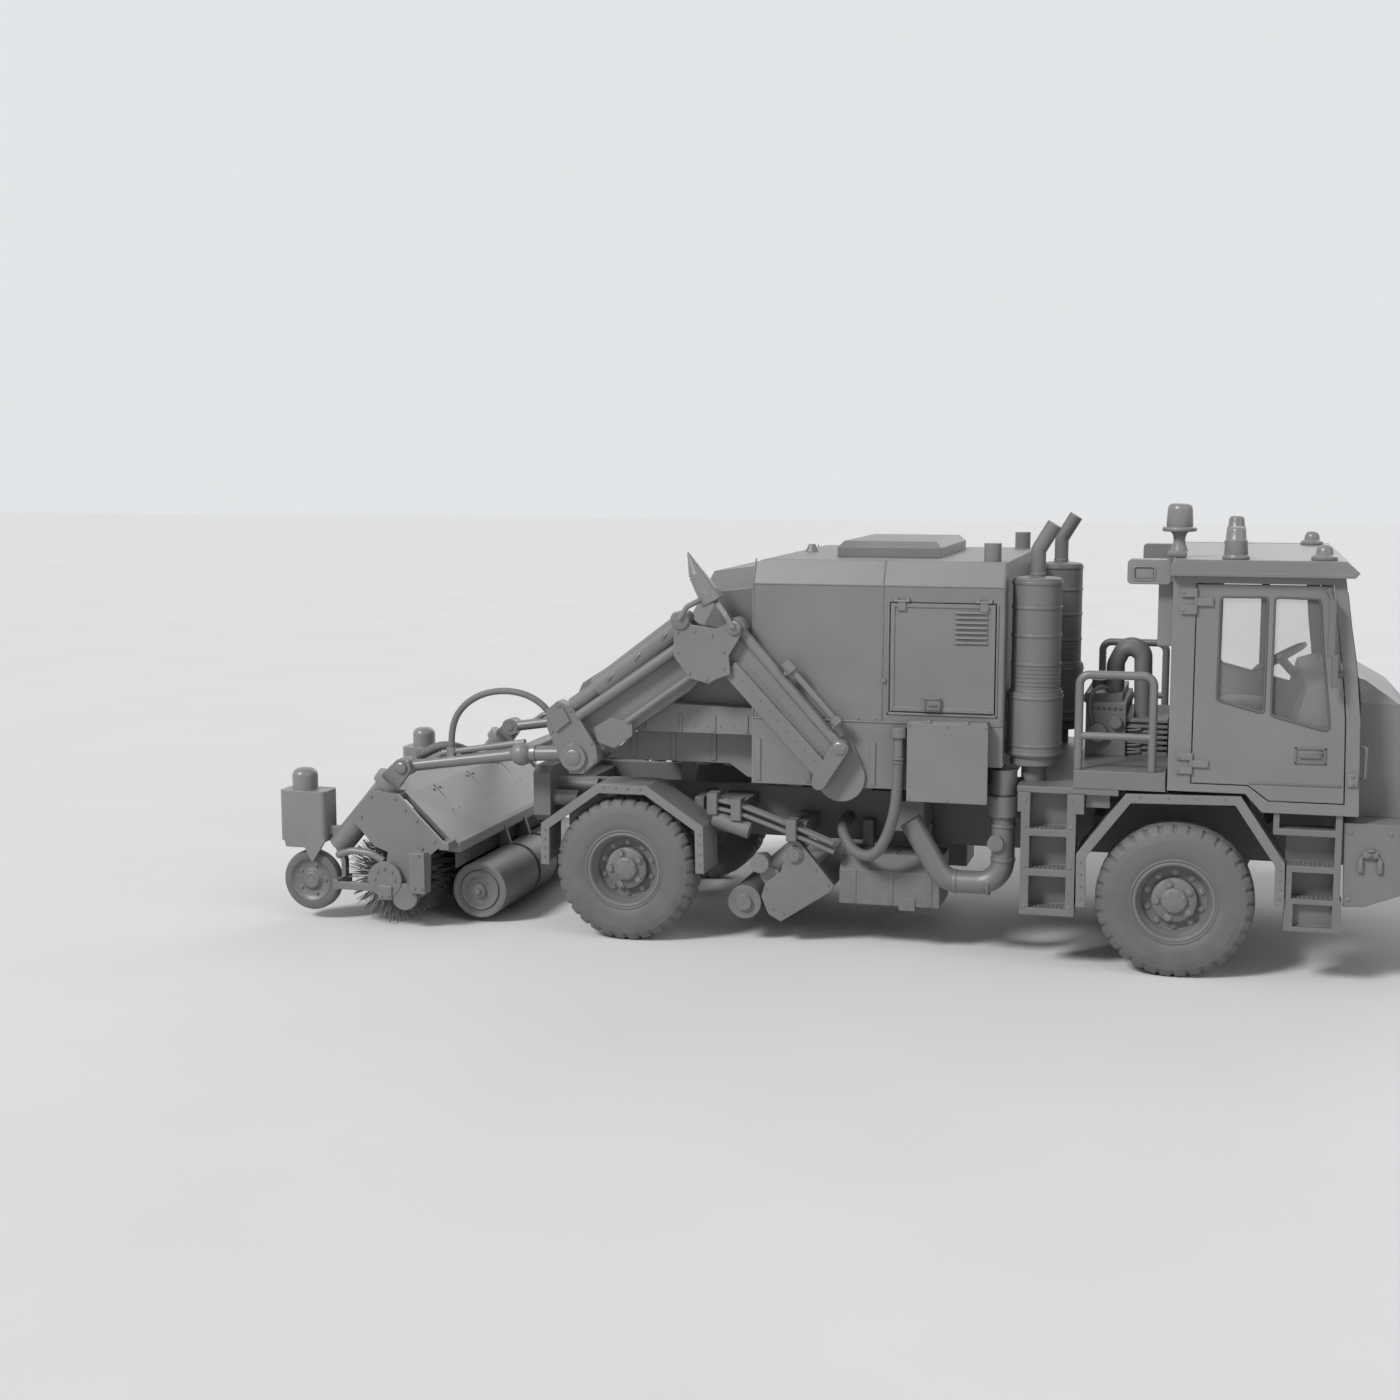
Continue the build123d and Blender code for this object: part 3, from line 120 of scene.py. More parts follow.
# One setting scales both the painted top light on upward faces and the grime low down.
def surface(name, tone, rough, wear=0.5, top_light_and_grime=0.5, metal=0.0, grain=0.25, grain_scale=90.0, soft_edge=0.011):
    """Coated surface: uneven tone, rounded and worn edges, painted top light on upward faces, grime low down,
    fine grain.
    """
    material, tree, shader = blank(name)
    place = node(tree, "ShaderNodeTexCoord").outputs["Object"]
    broad = node(tree, "ShaderNodeTexNoise", {"Vector": place, "Scale": 1.7, "Detail": 5.0}).outputs[0]
    patch = node(tree, "ShaderNodeTexNoise", {"Vector": place, "Scale": 9.0, "Detail": 6.0}).outputs[0]
    fine = node(tree, "ShaderNodeTexNoise", {"Vector": place, "Scale": grain_scale, "Detail": 3.0}).outputs[0]
    rounded = node(tree, "ShaderNodeBevel", {"Radius": soft_edge}, samples=4).outputs[0]
    geometry = node(tree, "ShaderNodeNewGeometry")
    same = node(
        tree, "ShaderNodeVectorMath", {0: rounded, 1: geometry.outputs["Normal"]}, operation="DOT_PRODUCT"
    ).outputs["Value"]
    edge = times(tree, spread(tree, same, 0.995, 0.85), spread(tree, patch, 0.42, 0.62))
    up = node(tree, "ShaderNodeSeparateXYZ", {0: geometry.outputs["Normal"]}).outputs[2]
    height = node(tree, "ShaderNodeSeparateXYZ", {0: place}).outputs[2]
    # painted top light: faces turned upward are painted lighter, in broad patches
    painted_top_light = times(tree, spread(tree, up, 0.35, 0.95), spread(tree, broad, 0.35, 0.7))
    splashed = times(tree, spread(tree, height, 1.1, 0.2), spread(tree, patch, 0.4, 0.65))
    colour = mixed(tree, spread(tree, broad, 0.3, 0.7), grey(tone * 0.93), grey(tone * 1.07))
    # painted highlight: a lighter, slightly warm grey mixed into the upward faces
    colour = mixed(tree, times(tree, painted_top_light, 0.5 * top_light_and_grime), colour, grey(tone * 1.5, 0.03))
    colour = mixed(tree, times(tree, splashed, 0.45 * top_light_and_grime), colour, grey(tone * 0.62, 0.05))
    colour = mixed(tree, times(tree, edge, wear), colour, grey(min(0.5, tone * 2.0)))
    tree.links.new(colour, shader.inputs["Base Color"])
    tree.links.new(spread(tree, broad, 0.3, 0.7, rough - 0.03, rough + 0.06), shader.inputs["Roughness"])
    shader.inputs["Metallic"].default_value = metal
    relief = {"Strength": grain, "Distance": GRAIN_DEPTH, "Height": fine, "Normal": rounded}
    bump = node(tree, "ShaderNodeBump", relief)
    tree.links.new(bump.outputs[0], shader.inputs["Normal"])
    return material


def clear_glass(name):
    material, tree, shader = blank(name)
    place = node(tree, "ShaderNodeTexCoord").outputs["Object"]
    smear = node(tree, "ShaderNodeTexNoise", {"Vector": place, "Scale": 4.0, "Detail": 4.0}).outputs[0]
    tree.links.new(spread(tree, smear, 0.3, 0.8, 0.03, 0.12), shader.inputs["Roughness"])
    shader.inputs["Base Color"].default_value = grey(0.5)
    shader.inputs["Alpha"].default_value = 0.14
    return material


def woven(name, tone):
    """Coarse seat cloth with a fine over and under weave."""
    material, tree, shader = blank(name)
    place = node(tree, "ShaderNodeTexCoord").outputs["Object"]
    threads = {"Vector": place, "Scale": THREAD_SCALE}
    across = node(tree, "ShaderNodeTexWave", threads, bands_direction="Y").outputs[0]
    along = node(tree, "ShaderNodeTexWave", threads, bands_direction="DIAGONAL").outputs[0]
    weave = times(tree, across, along)
    shade = mixed(tree, weave, grey(tone * 0.8), grey(tone * 1.2))
    tree.links.new(shade, shader.inputs["Base Color"])
    shader.inputs["Roughness"].default_value = 0.85
    shader.inputs["Sheen Weight"].default_value = 0.3
    bump = node(tree, "ShaderNodeBump", {"Strength": 0.35, "Distance": 0.001, "Height": weave})
    tree.links.new(bump.outputs[0], shader.inputs["Normal"])
    return material


FINISH = {
    "tyre": surface("tyre_rubber", 0.125, 0.62, wear=0.15, top_light_and_grime=0.9, grain=0.5, soft_edge=0.004),
    "chassis": surface("chassis_coat", 0.155, 0.5, wear=0.45, top_light_and_grime=0.9),
    "body": surface("body_coat", 0.178, 0.38, wear=0.4, top_light_and_grime=0.5, grain=0.12),
    "cab": surface("cab_coat", 0.185, 0.35, wear=0.35, top_light_and_grime=0.45, grain=0.1),
    "trim": surface("moulded_trim", 0.14, 0.55, wear=0.1, top_light_and_grime=0.4, grain=0.5, grain_scale=240.0),
    "steel": surface("steel_coat", 0.165, 0.42, wear=0.6, top_light_and_grime=0.6, metal=0.2),
    "engine": surface("cast_coat", 0.15, 0.5, wear=0.35, top_light_and_grime=0.6, grain=0.6, grain_scale=140.0),
    "boom": surface("boom_coat", 0.172, 0.33, wear=0.6, top_light_and_grime=0.5),
    "bristle": surface("bristle_fibre", 0.11, 0.6, wear=0.0, top_light_and_grime=0.5, soft_edge=0.001),
    "lamp": surface("lamp_shell", 0.2, 0.28, wear=0.1, top_light_and_grime=0.3, grain=0.06),
    "glass": clear_glass("window_glass"),
}
BOLT_STEEL = surface("bolt_steel", 0.21, 0.34, wear=0.5, top_light_and_grime=0.3, metal=0.5, soft_edge=0.002)
RUBBER_SEAL = surface("rubber_seal", 0.1, 0.6, wear=0.0, top_light_and_grime=0.4, grain=0.3, soft_edge=0.002)
SEAT_CLOTH = woven("seat_cloth", 0.13)


def finish_cad_nodes():
    slots = {part["node"]: part["material_slot"] for part in frame["record"]["subparts"]}
    for name, piece in frame["nodes"].items():
        material = FINISH[slots[name]]
        if not piece.material_slots:
            piece.data.materials.append(material)
        for entry in piece.material_slots:
            entry.material = material


# Meshes

def finish_piece(name, bm, body, slot, material=None, smooth=True, replaces=()):
    bmesh.ops.recalc_face_normals(bm, faces=bm.faces)
    mesh = bpy.data.meshes.new(name)
    bm.to_mesh(mesh)
    bm.free()
    if smooth:
        mesh.shade_smooth()
        mesh.set_sharp_from_angle(angle=math.radians(38))
    mesh.materials.append(material or FINISH[slot])
    piece = bpy.data.objects.new(name, mesh)
    bpy.context.scene.collection.objects.link(piece)
    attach(piece, body)
    if replaces:
        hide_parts(*replaces)
    return piece


def turned_to(axis, centre):
    return Matrix.Translation(centre) @ axis.to_track_quat("Z", "Y").to_matrix().to_4x4()


def edges_of(verts):
    """Their edges, each once and always in the same order."""
    return list(dict.fromkeys(edge for vert in verts for edge in vert.link_edges))


def add_block(bm, low, high, bevel=0.0):
    """Box between two corners given in metres, with rounded edges."""
    low, high = Vector(map(min, zip(low, high))), Vector(map(max, zip(low, high)))
    placed = Matrix.Translation((low + high) / 2) @ Matrix.Diagonal((*(high - low), 1))
    made = bmesh.ops.create_cube(bm, size=1.0, matrix=placed)
    if bevel:
        edges = edges_of(made["verts"])
        bmesh.ops.bevel(bm, geom=edges, offset=bevel, segments=2, profile=0.6, affect="EDGES")


def add_drum(bm, centre, axis, radius, depth, sides=24, top=None):
    bmesh.ops.create_cone(
        bm, cap_ends=True, segments=sides, radius1=radius, radius2=radius if top is None else top,
        depth=depth, matrix=turned_to(axis, centre),
    )


def add_bolt(bm, point, axis, size=0.011):
    """Washer and hexagon head standing on the surface at point."""
    add_drum(bm, point + axis * size * 0.12, axis, size * 1.45, size * 0.26, sides=16)
    add_drum(bm, point + axis * size * 0.6, axis, size, size * 0.75, sides=6, top=size * 0.94)


def add_bolts(bm, spots, y, side, size):
    """Bolts on a side face, at (x, z) spots."""
    for x, z in spots:
        add_bolt(bm, at(x, y, z), Vector((0, side, 0)), size)


def add_side_block(bm, x0, x1, z0, z1, y, side, sunk, proud, bevel):
    """Block on a side face, sunk below it and standing proud of it, in millimetres."""
    add_block(bm, at(x0, y - side * sunk, z0), at(x1, y + side * proud, z1), bevel)


def add_side_frame(bm, x0, x1, z0, z1, width, y, side, sunk, proud, bevel):
    """Four bars round a rectangle on a side face."""
    for bar in (
        (x0, x1, z0, z0 + width), (x0, x1, z1 - width, z1),
        (x0, x0 + width, z0, z1), (x1 - width, x1, z0, z1),
    ):
        add_side_block(bm, *bar, y, side, sunk, proud, bevel)


def circle(count):
    return [TURN * k / count for k in range(count)]


def add_tube(bm, path, radius, sides=14, closed=False):
    """Round tube along points; radius is a number or a function of the share of the way."""
    count = len(path)
    rings = []
    up = None
    for i, point in enumerate(path):
        before = path[i - 1] if closed or i else point
        after = path[(i + 1) % count] if closed or i < count - 1 else point
        along = (after - before).normalized()
        up = along.orthogonal().normalized() if up is None else (up - along * up.dot(along)).normalized()
        side = along.cross(up)
        r = radius(i / (count - 1)) if callable(radius) else radius
        angles = [TURN * k / sides for k in range(sides)]
        rings.append([bm.verts.new(point + (up * math.cos(a) + side * math.sin(a)) * r) for a in angles])
    after_rings = rings[1:] + rings[:1] if closed else rings[1:]
    for one, two in zip(rings, after_rings):
        for k in range(sides):
            n = (k + 1) % sides
            bm.faces.new((one[k], one[n], two[n], two[k]))
    if not closed:
        bm.faces.new(list(reversed(rings[0])))
        bm.faces.new(rings[-1])


def add_lathe(bm, profile, centre, axis, segments=64, closed=False, dent=None):
    """Turned form of (distance along axis, radius) rows; dent(k, row) lowers single points."""
    axis = axis.normalized()
    up = Vector((0, 0, 1)) if abs(axis.z) < 0.9 else Vector((1, 0, 0))
    side = axis.cross(up)
    rings = []
    for row, (along, radius) in enumerate(profile):
        middle = centre + axis * along
        if radius < 1e-6:
            rings.append([bm.verts.new(middle)])
            continue
        ring = []
        for k in range(segments):
            r = radius - (dent(k, row) if dent else 0.0)
            a = TURN * k / segments
            ring.append(bm.verts.new(middle + (up * math.cos(a) + side * math.sin(a)) * r))
        rings.append(ring)
    after_rings = rings[1:] + rings[:1] if closed else rings[1:]
    for one, two in zip(rings, after_rings):
        for k in range(segments):
            n = k + 1
            corners = (one[k % len(one)], one[n % len(one)], two[n % len(two)], two[k % len(two)])
            corners = list(dict.fromkeys(corners))
            if len(corners) > 2:
                bm.faces.new(corners)


BAND_LEAD = 0.002


def add_band(bm, centre, axis, half, root, crest, segments):
    """Flat band round a tube, its edges falling to the root radius."""
    rows = [(-half, root), (BAND_LEAD - half, crest), (half - BAND_LEAD, crest), (half, root)]
    add_lathe(bm, rows, centre, axis, segments=segments, closed=True)


def rounded(points, radius, steps=5):
    """Closed outline with its corners rounded."""
    out = []
    count = len(points)
    for i, corner in enumerate(points):
        to_last = (points[i - 1] - corner).normalized()
        to_next = (points[(i + 1) % count] - corner).normalized()
        a, b = corner + to_last * radius, corner + to_next * radius
        for k in range(steps + 1):
            t = k / steps
            out.append(a.lerp(corner, t).lerp(corner.lerp(b, t), t))
    return out


def smooth_path(name, points):
    """Points along the smooth line through a hose's route."""
    curve = bpy.data.curves.new(name, "CURVE")
    curve.dimensions = "3D"
    spline = curve.splines.new("NURBS")
    spline.points.add(len(points) - 1)
    for made, point in zip(spline.points, points):
        made.co = (*point, 1.0)
    spline.order_u = 3
    spline.use_endpoint_u = True
    spline.resolution_u = 24
    holder = bpy.data.objects.new(name, curve)
    mesh = bpy.data.meshes.new_from_object(holder)
    route = [v.co.copy() for v in mesh.vertices]
    bpy.data.meshes.remove(mesh)
    bpy.data.objects.remove(holder)
    bpy.data.curves.remove(curve)
    return route


def evenly(route, step):
    """The same line with points a step apart."""
    out, left_over = [route[0]], 0.0
    for a, b in zip(route, route[1:]):
        length = (b - a).length
        along = step - left_over
        while along <= length:
            out.append(a.lerp(b, along / length))
            along += step
        left_over = length - (along - step)
    out.append(route[-1])
    return out


# Road wheels

LUGS = 32
STEPS = 8           # mesh steps from one lug to the next
GROOVE = 0.016
# (distance outward from the middle plane, radius, whether a groove crosses it), in millimetres
TYRE_ROWS = [
    (128, 266, 0), (146, 284, 0), (154, 296, 0), (150, 312, 0), (156, 322, 0), (159, 372, 0), (159, 428, 0),
    (157, 462, 0), (152, 470, 0), (153, 480, 0), (146, 494, 0), (138, 508, 1), (120, 530, 1), (104, 544, 1),
    (84, 550, 1), (62, 550, 1), (58, 536, 0), (46, 536, 0), (42, 550, 0), (16, 550, 0), (12, 538, 0),
    (-12, 538, 0), (-16, 550, 0), (-42, 550, 0), (-46, 536, 0), (-58, 536, 0), (-62, 550, 2), (-84, 550, 2),
    (-104, 544, 2), (-120, 530, 2), (-138, 508, 2), (-150, 480, 0), (-158, 428, 0), (-156, 340, 0),
    (-119, 286, 0), (-114, 266, 0),
]
RIM_ROWS = [
    (125, 0), (125, 60), (119, 84), (112, 90), (88, 95), (84, 150), (78, 158), (32, 165), (29, 172),
    (29, 222), (40, 228), (84, 233), (96, 244), (120, 254), (140, 258), (151, 268), (152, 282),
    (146, 288), (120, 283), (-119, 284), (-122, 262), (-116, 244), (-69, 232), (-69, 0),
]
# (how many, circle, distance outward, size) of the nuts, hub bosses and cap screws, in metres
NUT_RINGS = ((10, 0.195, 0.029, 0.017), (5, 0.124, 0.086, 0.024), (8, 0.072, 0.121, 0.007))


def road_wheel(node_name, body, side):
    low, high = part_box(node_name)
    centre = (low + high) / 2
    outward = Vector((0, side, 0))

    def dent(k, row):
        shift = {1: 0, 2: STEPS // 2}.get(TYRE_ROWS[row][2])
        return GROOVE if shift is not None and (k + shift) % STEPS < 2 else 0.0

    bm = bmesh.new()
    rows = [(d / 1000, r / 1000) for d, r, _ in TYRE_ROWS]
    add_lathe(bm, rows, centre, outward, segments=LUGS * STEPS, closed=True, dent=dent)
    finish_piece(f"{node_name}_tyre", bm, body, "tyre", replaces=(node_name,))

    bm = bmesh.new()
    add_lathe(bm, [(d / 1000, r / 1000) for d, r in RIM_ROWS], centre, outward, segments=72)
    finish_piece(f"{node_name}_rim", bm, body, "chassis", replaces=(node_name,))

    bm = bmesh.new()
    for count, reach, out, size in NUT_RINGS:
        for k in range(count):
            a = TURN * (k + 0.5) / count
            spot = centre + outward * out + Vector((math.cos(a), 0, math.sin(a))) * reach
            add_bolt(bm, spot, outward, size)
    finish_piece(f"{node_name}_nuts", bm, body, "steel", BOLT_STEEL)


def gauge_wheel(node_name, body, side):
    low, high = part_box(node_name)
    centre = (low + high) / 2
    outward = Vector((0, side, 0))
    radius = (high.z - low.z) / 2
    half = (high.y - low.y) / 2
    bm = bmesh.new()
    rows = [(half * 0.55, 0.165), (half * 0.9, 0.172), (half, 0.2)]
    rows += [(half * 0.86, radius * 0.95), (half * 0.5, radius)]
    rows += [(-d, r) for d, r in reversed(rows)]
    add_lathe(bm, rows, centre, outward, segments=64, closed=True)
    finish_piece(f"{node_name}_tyre", bm, body, "tyre", replaces=(node_name,))
    bm = bmesh.new()
    rows = [(half, 0.0285), (half, 0.06), (half * 0.7, 0.075), (half * 0.45, 0.09), (half * 0.45, 0.14)]
    rows += [(half * 0.7, 0.158), (half * 0.9, 0.168), (half * 0.6, 0.172)]
    rows += [(-d, r) for d, r in reversed(rows)]
    add_lathe(bm, rows, centre, outward, segments=48, closed=True)
    for a in circle(5):
        spot = centre + outward * half * 0.45 + Vector((math.cos(a), 0, math.sin(a))) * 0.115
        add_bolt(bm, spot, outward, 0.011)
    finish_piece(f"{node_name}_rim", bm, body, "steel", replaces=(node_name,))


# Brush

BRISTLE_ROWS = 30
BRISTLES_A_ROW = 165
BRISTLE_ROOT_R, BRISTLE_TIP_R = 0.0042, 0.0024
BRUSH_HALF, CORE_R = 1.28, 0.11
# (distance along the axis, radius) down the core tube and its shaft
CORE_ROWS = [
    (-1.343, 0), (-1.343, 0.044), (-1.286, 0.044), (-1.284, CORE_R), (1.284, CORE_R), (1.286, 0.044),
    (1.343, 0.044), (1.343, 0),
]


def brush():
    """Core tube with rows of single stiff bristles that splay a little."""
    low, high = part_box("brush")
    centre = (low + high) / 2
    reach = (high.z - low.z) / 2
    half = BRUSH_HALF
    bm = bmesh.new()
    add_lathe(bm, CORE_ROWS, centre, AXIS_Y, segments=48)
    finish_piece("brush_core", bm, "brush", "bristle", FINISH["steel"], replaces=("brush",))
    bm = bmesh.new()
    for row in range(BRISTLE_ROWS):
        for k in range(BRISTLES_A_ROW):
            a = TURN * row / BRISTLE_ROWS + draw.gauss(0, 0.012)
            y = -half + 2 * half * (k + draw.uniform(0.1, 0.9)) / BRISTLES_A_ROW
            root = centre + Vector((math.cos(a), 0, math.sin(a))) * (CORE_R - 0.01) + AXIS_Y * y
            lean = a + draw.gauss(0.03, 0.035)
            length = reach - draw.uniform(0.002, 0.022)
            tip_y = max(-half, min(half, y + draw.gauss(0, 0.012)))
            tip = centre + Vector((math.cos(lean), 0, math.sin(lean))) * length + AXIS_Y * tip_y
            middle = root.lerp(tip, 0.55) + Vector((-math.sin(a), 0, math.cos(a))) * draw.gauss(0, 0.006)
            taper = lambda t: BRISTLE_ROOT_R + (BRISTLE_TIP_R - BRISTLE_ROOT_R) * t
            add_tube(bm, [root, middle, tip], taper, sides=3)
    finish_piece("brush_bristles", bm, "brush", "bristle", replaces=("brush",))


# Hoses

RIB_WAVE = (0.0, 0.75, 1.0, 0.75)


def hose(name, points, radius, body, rib=0.0, pitch=0.016, replaces=()):
    """Smooth or corrugated hose along a route."""
    route = smooth_path(name, points)
    line = evenly(route, pitch / len(RIB_WAVE) if rib else 0.02)
    bm = bmesh.new()
    if rib:
        def ribbed(t):
            return radius - rib + rib * RIB_WAVE[round(t * (len(line) - 1)) % len(RIB_WAVE)]

        add_tube(bm, line, ribbed, sides=24)
    else:
        add_tube(bm, line, radius, sides=18)
    for end, inward in ((line[0], line[2] - line[0]), (line[-1], line[-3] - line[-1])):
        axis = inward.normalized()
        for share, size in ((0.35, 1.12), (1.0, 1.06)):
            add_drum(bm, end + axis * radius * share, axis, radius * size, radius * 0.28, sides=24)
    return finish_piece(name, bm, body, "trim", replaces=replaces)


FILLER_ROUTE = [
    (-1963, -1275, 1508), (-1963, -1275, 1240), (-2010, -1250, 985), (-2130, -1200, 745), (-2300, -1110, 740),
    (-2430, -940, 850), (-2470, -720, 900), (-2470, -466, 900),
]
ARM_Y = -1150
ARC_ROUTE = [
    (-5480, ARM_Y, 1420), (-5480, ARM_Y, 1570), (-5400, ARM_Y, 1730), (-5240, ARM_Y, 1840),
    (-5040, ARM_Y, 1880), (-4840, ARM_Y, 1850), (-4690, ARM_Y, 1750),
    (-4620, ARM_Y, 1610), (-4620, ARM_Y, 1475),
]
LOW_Y = -1064
LOW_ROUTE = [
    (-5800, LOW_Y, 1315), (-5680, LOW_Y, 1390), (-5540, LOW_Y, 1420), (-5400, LOW_Y, 1385),
    (-5270, LOW_Y, 1325), (-5140, LOW_Y, 1330), (-5000, LOW_Y, 1375),
]
HOSE_RIB = 0.005


def hoses():
    filler, arc, low = ([at(*p) for p in route] for route in (FILLER_ROUTE, ARC_ROUTE, LOW_ROUTE))
    hose("filler_hose_ribbed", filler, 0.042, "root", rib=HOSE_RIB, replaces=("filler_hose",))
    hose("head_hose_arc", arc, 0.0255, "arm", replaces=("head_hoses",))
    hose("head_hose_low", low, 0.039, "arm", rib=HOSE_RIB, replaces=("head_hoses",))


# Cab

DOOR_Y = 1290
WINDOW_REAR = [(245, 1994), (250, 2707), (560, 2710), (560, 1912)]
WINDOW_FRONT = [(606, 1900), (606, 2710), (900, 2703), (930, 2360), (995, 1830), (965, 1805)]
# (x, z) down the outside of the windscreen's opening
SCREEN = [(1076, 2740), (1110, 2500), (1150, 2265), (1169, 2080)]
SCREEN_HALF_Y = 1176
# (y, z) round the rear window
BACK_WINDOW = ((-896, 1954), (896, 1954), (896, 2646), (-896, 2646))
# (x, x, z, z) of the frame round the door handle
HANDLE_BOX = (772, 979, 1575, 1690)


def add_pane(bm, outline, thickness, along):
    """Flat pane of the outline, extruded along the given direction."""
    face = bm.faces.new([bm.verts.new(p) for p in outline])
    made = bmesh.ops.extrude_face_region(bm, geom=[face])
    verts = [v for v in made["geom"] if isinstance(v, bmesh.types.BMVert)]
    bmesh.ops.translate(bm, verts=verts, vec=along * thickness)


def door_trim(place, side):
    """Window seals, panes, handle and hinge bolts of one door."""
    body = f"door_{place}"
    out = Vector((0, side, 0))
    seal, glass = bmesh.new(), bmesh.new()
    for outline in (WINDOW_REAR, WINDOW_FRONT):
        for depth in (1, -1):
            y = side * (DOOR_Y - 22 + depth * 21)
            add_tube(seal, rounded([at(x, y, z) for x, z in outline], 0.035), 0.0085, sides=10, closed=True)
        add_pane(glass, rounded([at(x, side * (DOOR_Y - 24), z) for x, z in outline], 0.03), 0.005, -out)
    finish_piece(f"cab_door_{place}_seals", seal, body, "trim", RUBBER_SEAL)
    finish_piece(f"cab_door_{place}_panes", glass, body, "glass", smooth=False)

    bm = bmesh.new()
    y = side * DOOR_Y
    x0, x1, z0, z1 = HANDLE_BOX
    add_side_frame(bm, *HANDLE_BOX, 16, y, side, 3, 9, 0.004)
    add_side_block(bm, x0 + 30, x1 - 30, z0 + 38, z0 + 66, y, side, 3, 15, 0.008)
    add_drum(bm, at(x1 - 36, y + side * 8, z1 - 34), out, 0.011, 0.016, sides=20)
    # bead low on the door
    add_side_block(bm, 480, 1085, 1420, 1436, y, side, 3, 4, 0.002)
    finish_piece(f"cab_door_{place}_handle", bm, body, "trim")

    bm = bmesh.new()
    for z in (1502, 1594, 2612, 2735):
        add_bolt(bm, at(0, y + side * 18, z), out, 0.008)
    finish_piece(f"cab_hinge_bolts_{place}", bm, "root", "steel", BOLT_STEEL)


def cab_trim():
    glass, seal = bmesh.new(), bmesh.new()
    near, far = ([at(x - 22, y, z) for x, z in SCREEN] for y in (-SCREEN_HALF_Y, SCREEN_HALF_Y))
    for k in range(len(SCREEN) - 1):
        corners = [near[k], far[k], far[k + 1], near[k + 1]]
        normal = (corners[1] - corners[0]).cross(corners[3] - corners[0]).normalized()
        add_pane(glass, corners, 0.006, normal if normal.x < 0 else -normal)
    inner = SCREEN_HALF_Y - 4
    edge = [at(x - 3, -inner, z) for x, z in SCREEN] + [at(x - 3, inner, z) for x, z in reversed(SCREEN)]
    add_tube(seal, edge, 0.012, sides=10, closed=True)
    add_pane(glass, [at(-48, y, z) for y, z in BACK_WINDOW], 0.005, AXIS_X)
    for x in (-70, -26):
        corners = [at(x, y, z) for y, z in BACK_WINDOW]
        add_tube(seal, rounded(corners, 0.06), 0.009, sides=10, closed=True)
    finish_piece("cab_glass", glass, "root", "glass", smooth=False)
    finish_piece("cab_window_seals", seal, "root", "trim", RUBBER_SEAL)

    bm = bmesh.new()
    # wipers, each an arm, a blade and a pivot
    for y in (-560, 420):
        add_tube(bm, [at(1180, y, 2070), at(1166, y + 160, 2160), at(1126, y + 410, 2315)], 0.008, sides=8)
        add_tube(bm, [at(1148, y + 120, 2130), at(1094, y + 700, 2500)], 0.006, sides=6)
        add_drum(bm, at(1182, y, 2062), AXIS_X, 0.026, 0.03)
    # grab rails at the front corners
    for side in (RIGHT, LEFT):
        y = side * 1235
        route = [at(1192, y, 1470), at(1238, y, 1485), at(1238, y, 1690), at(1192, y, 1705)]
        add_tube(bm, route, 0.014, sides=12)
    finish_piece("cab_wipers_and_rails", bm, "root", "trim")

    bm = bmesh.new()
    # gutters and lips of the roof, and the catch block on each front pillar
    for side in (RIGHT, LEFT):
        add_tube(bm, [at(-70, side * 1362, 2868), at(1110, side * 1362, 2868)], 0.01, sides=10)
        add_tube(bm, [at(-60, side * 1352, 2956), at(1060, side * 1352, 2956)], 0.008, sides=10)
        add_block(bm, at(1118, side * 1286, 1430), at(1190, side * 1308, 1525), 0.008)
        for z in (1452, 1503):
            add_bolt(bm, at(1154, side * 1308, z), Vector((0, side, 0)), 0.009)
    add_tube(bm, [at(1098, -1300, 2866), at(1098, 1300, 2866)], 0.014, sides=10)
    finish_piece("cab_roof_edges", bm, "root", "cab")


# Seats

def add_cushion(bm, low, high, crown=0.02, channels=(), tilt=None):
    """Crowned pad with rounded edges and sewn channels across it."""
    start = len(bm.verts)
    made = bmesh.ops.create_cube(bm, size=2.0)
    bmesh.ops.subdivide_edges(bm, edges=edges_of(made["verts"]), cuts=15, use_grid_fill=True)
    bm.verts.ensure_lookup_table()
    centre, half = (low + high) / 2, (high - low) / 2
    for v in list(bm.verts)[start:]:
        u, w, h = v.co
        lift = (1 - u * u) * (1 - w * w)
        norm = (abs(u) ** 5 + abs(w) ** 5 + abs(h) ** 5) ** 0.2
        p = Vector((u / norm, w / norm, h / norm))
        sink = sum(math.exp(-((w - c) / 0.045) ** 2) for c in channels)
        rise = crown * lift - 0.009 * sink if h > 0.5 else 0.0
        shrink = 1 - crown / half.z
        v.co = Vector((p.x * half.x, p.y * half.y, p.z * half.z * shrink - crown * 0.4 + rise))
    moved = Matrix.Translation(centre) @ (tilt or Matrix.Identity(4))
    bmesh.ops.transform(bm, matrix=moved, verts=list(bm.verts)[start:])


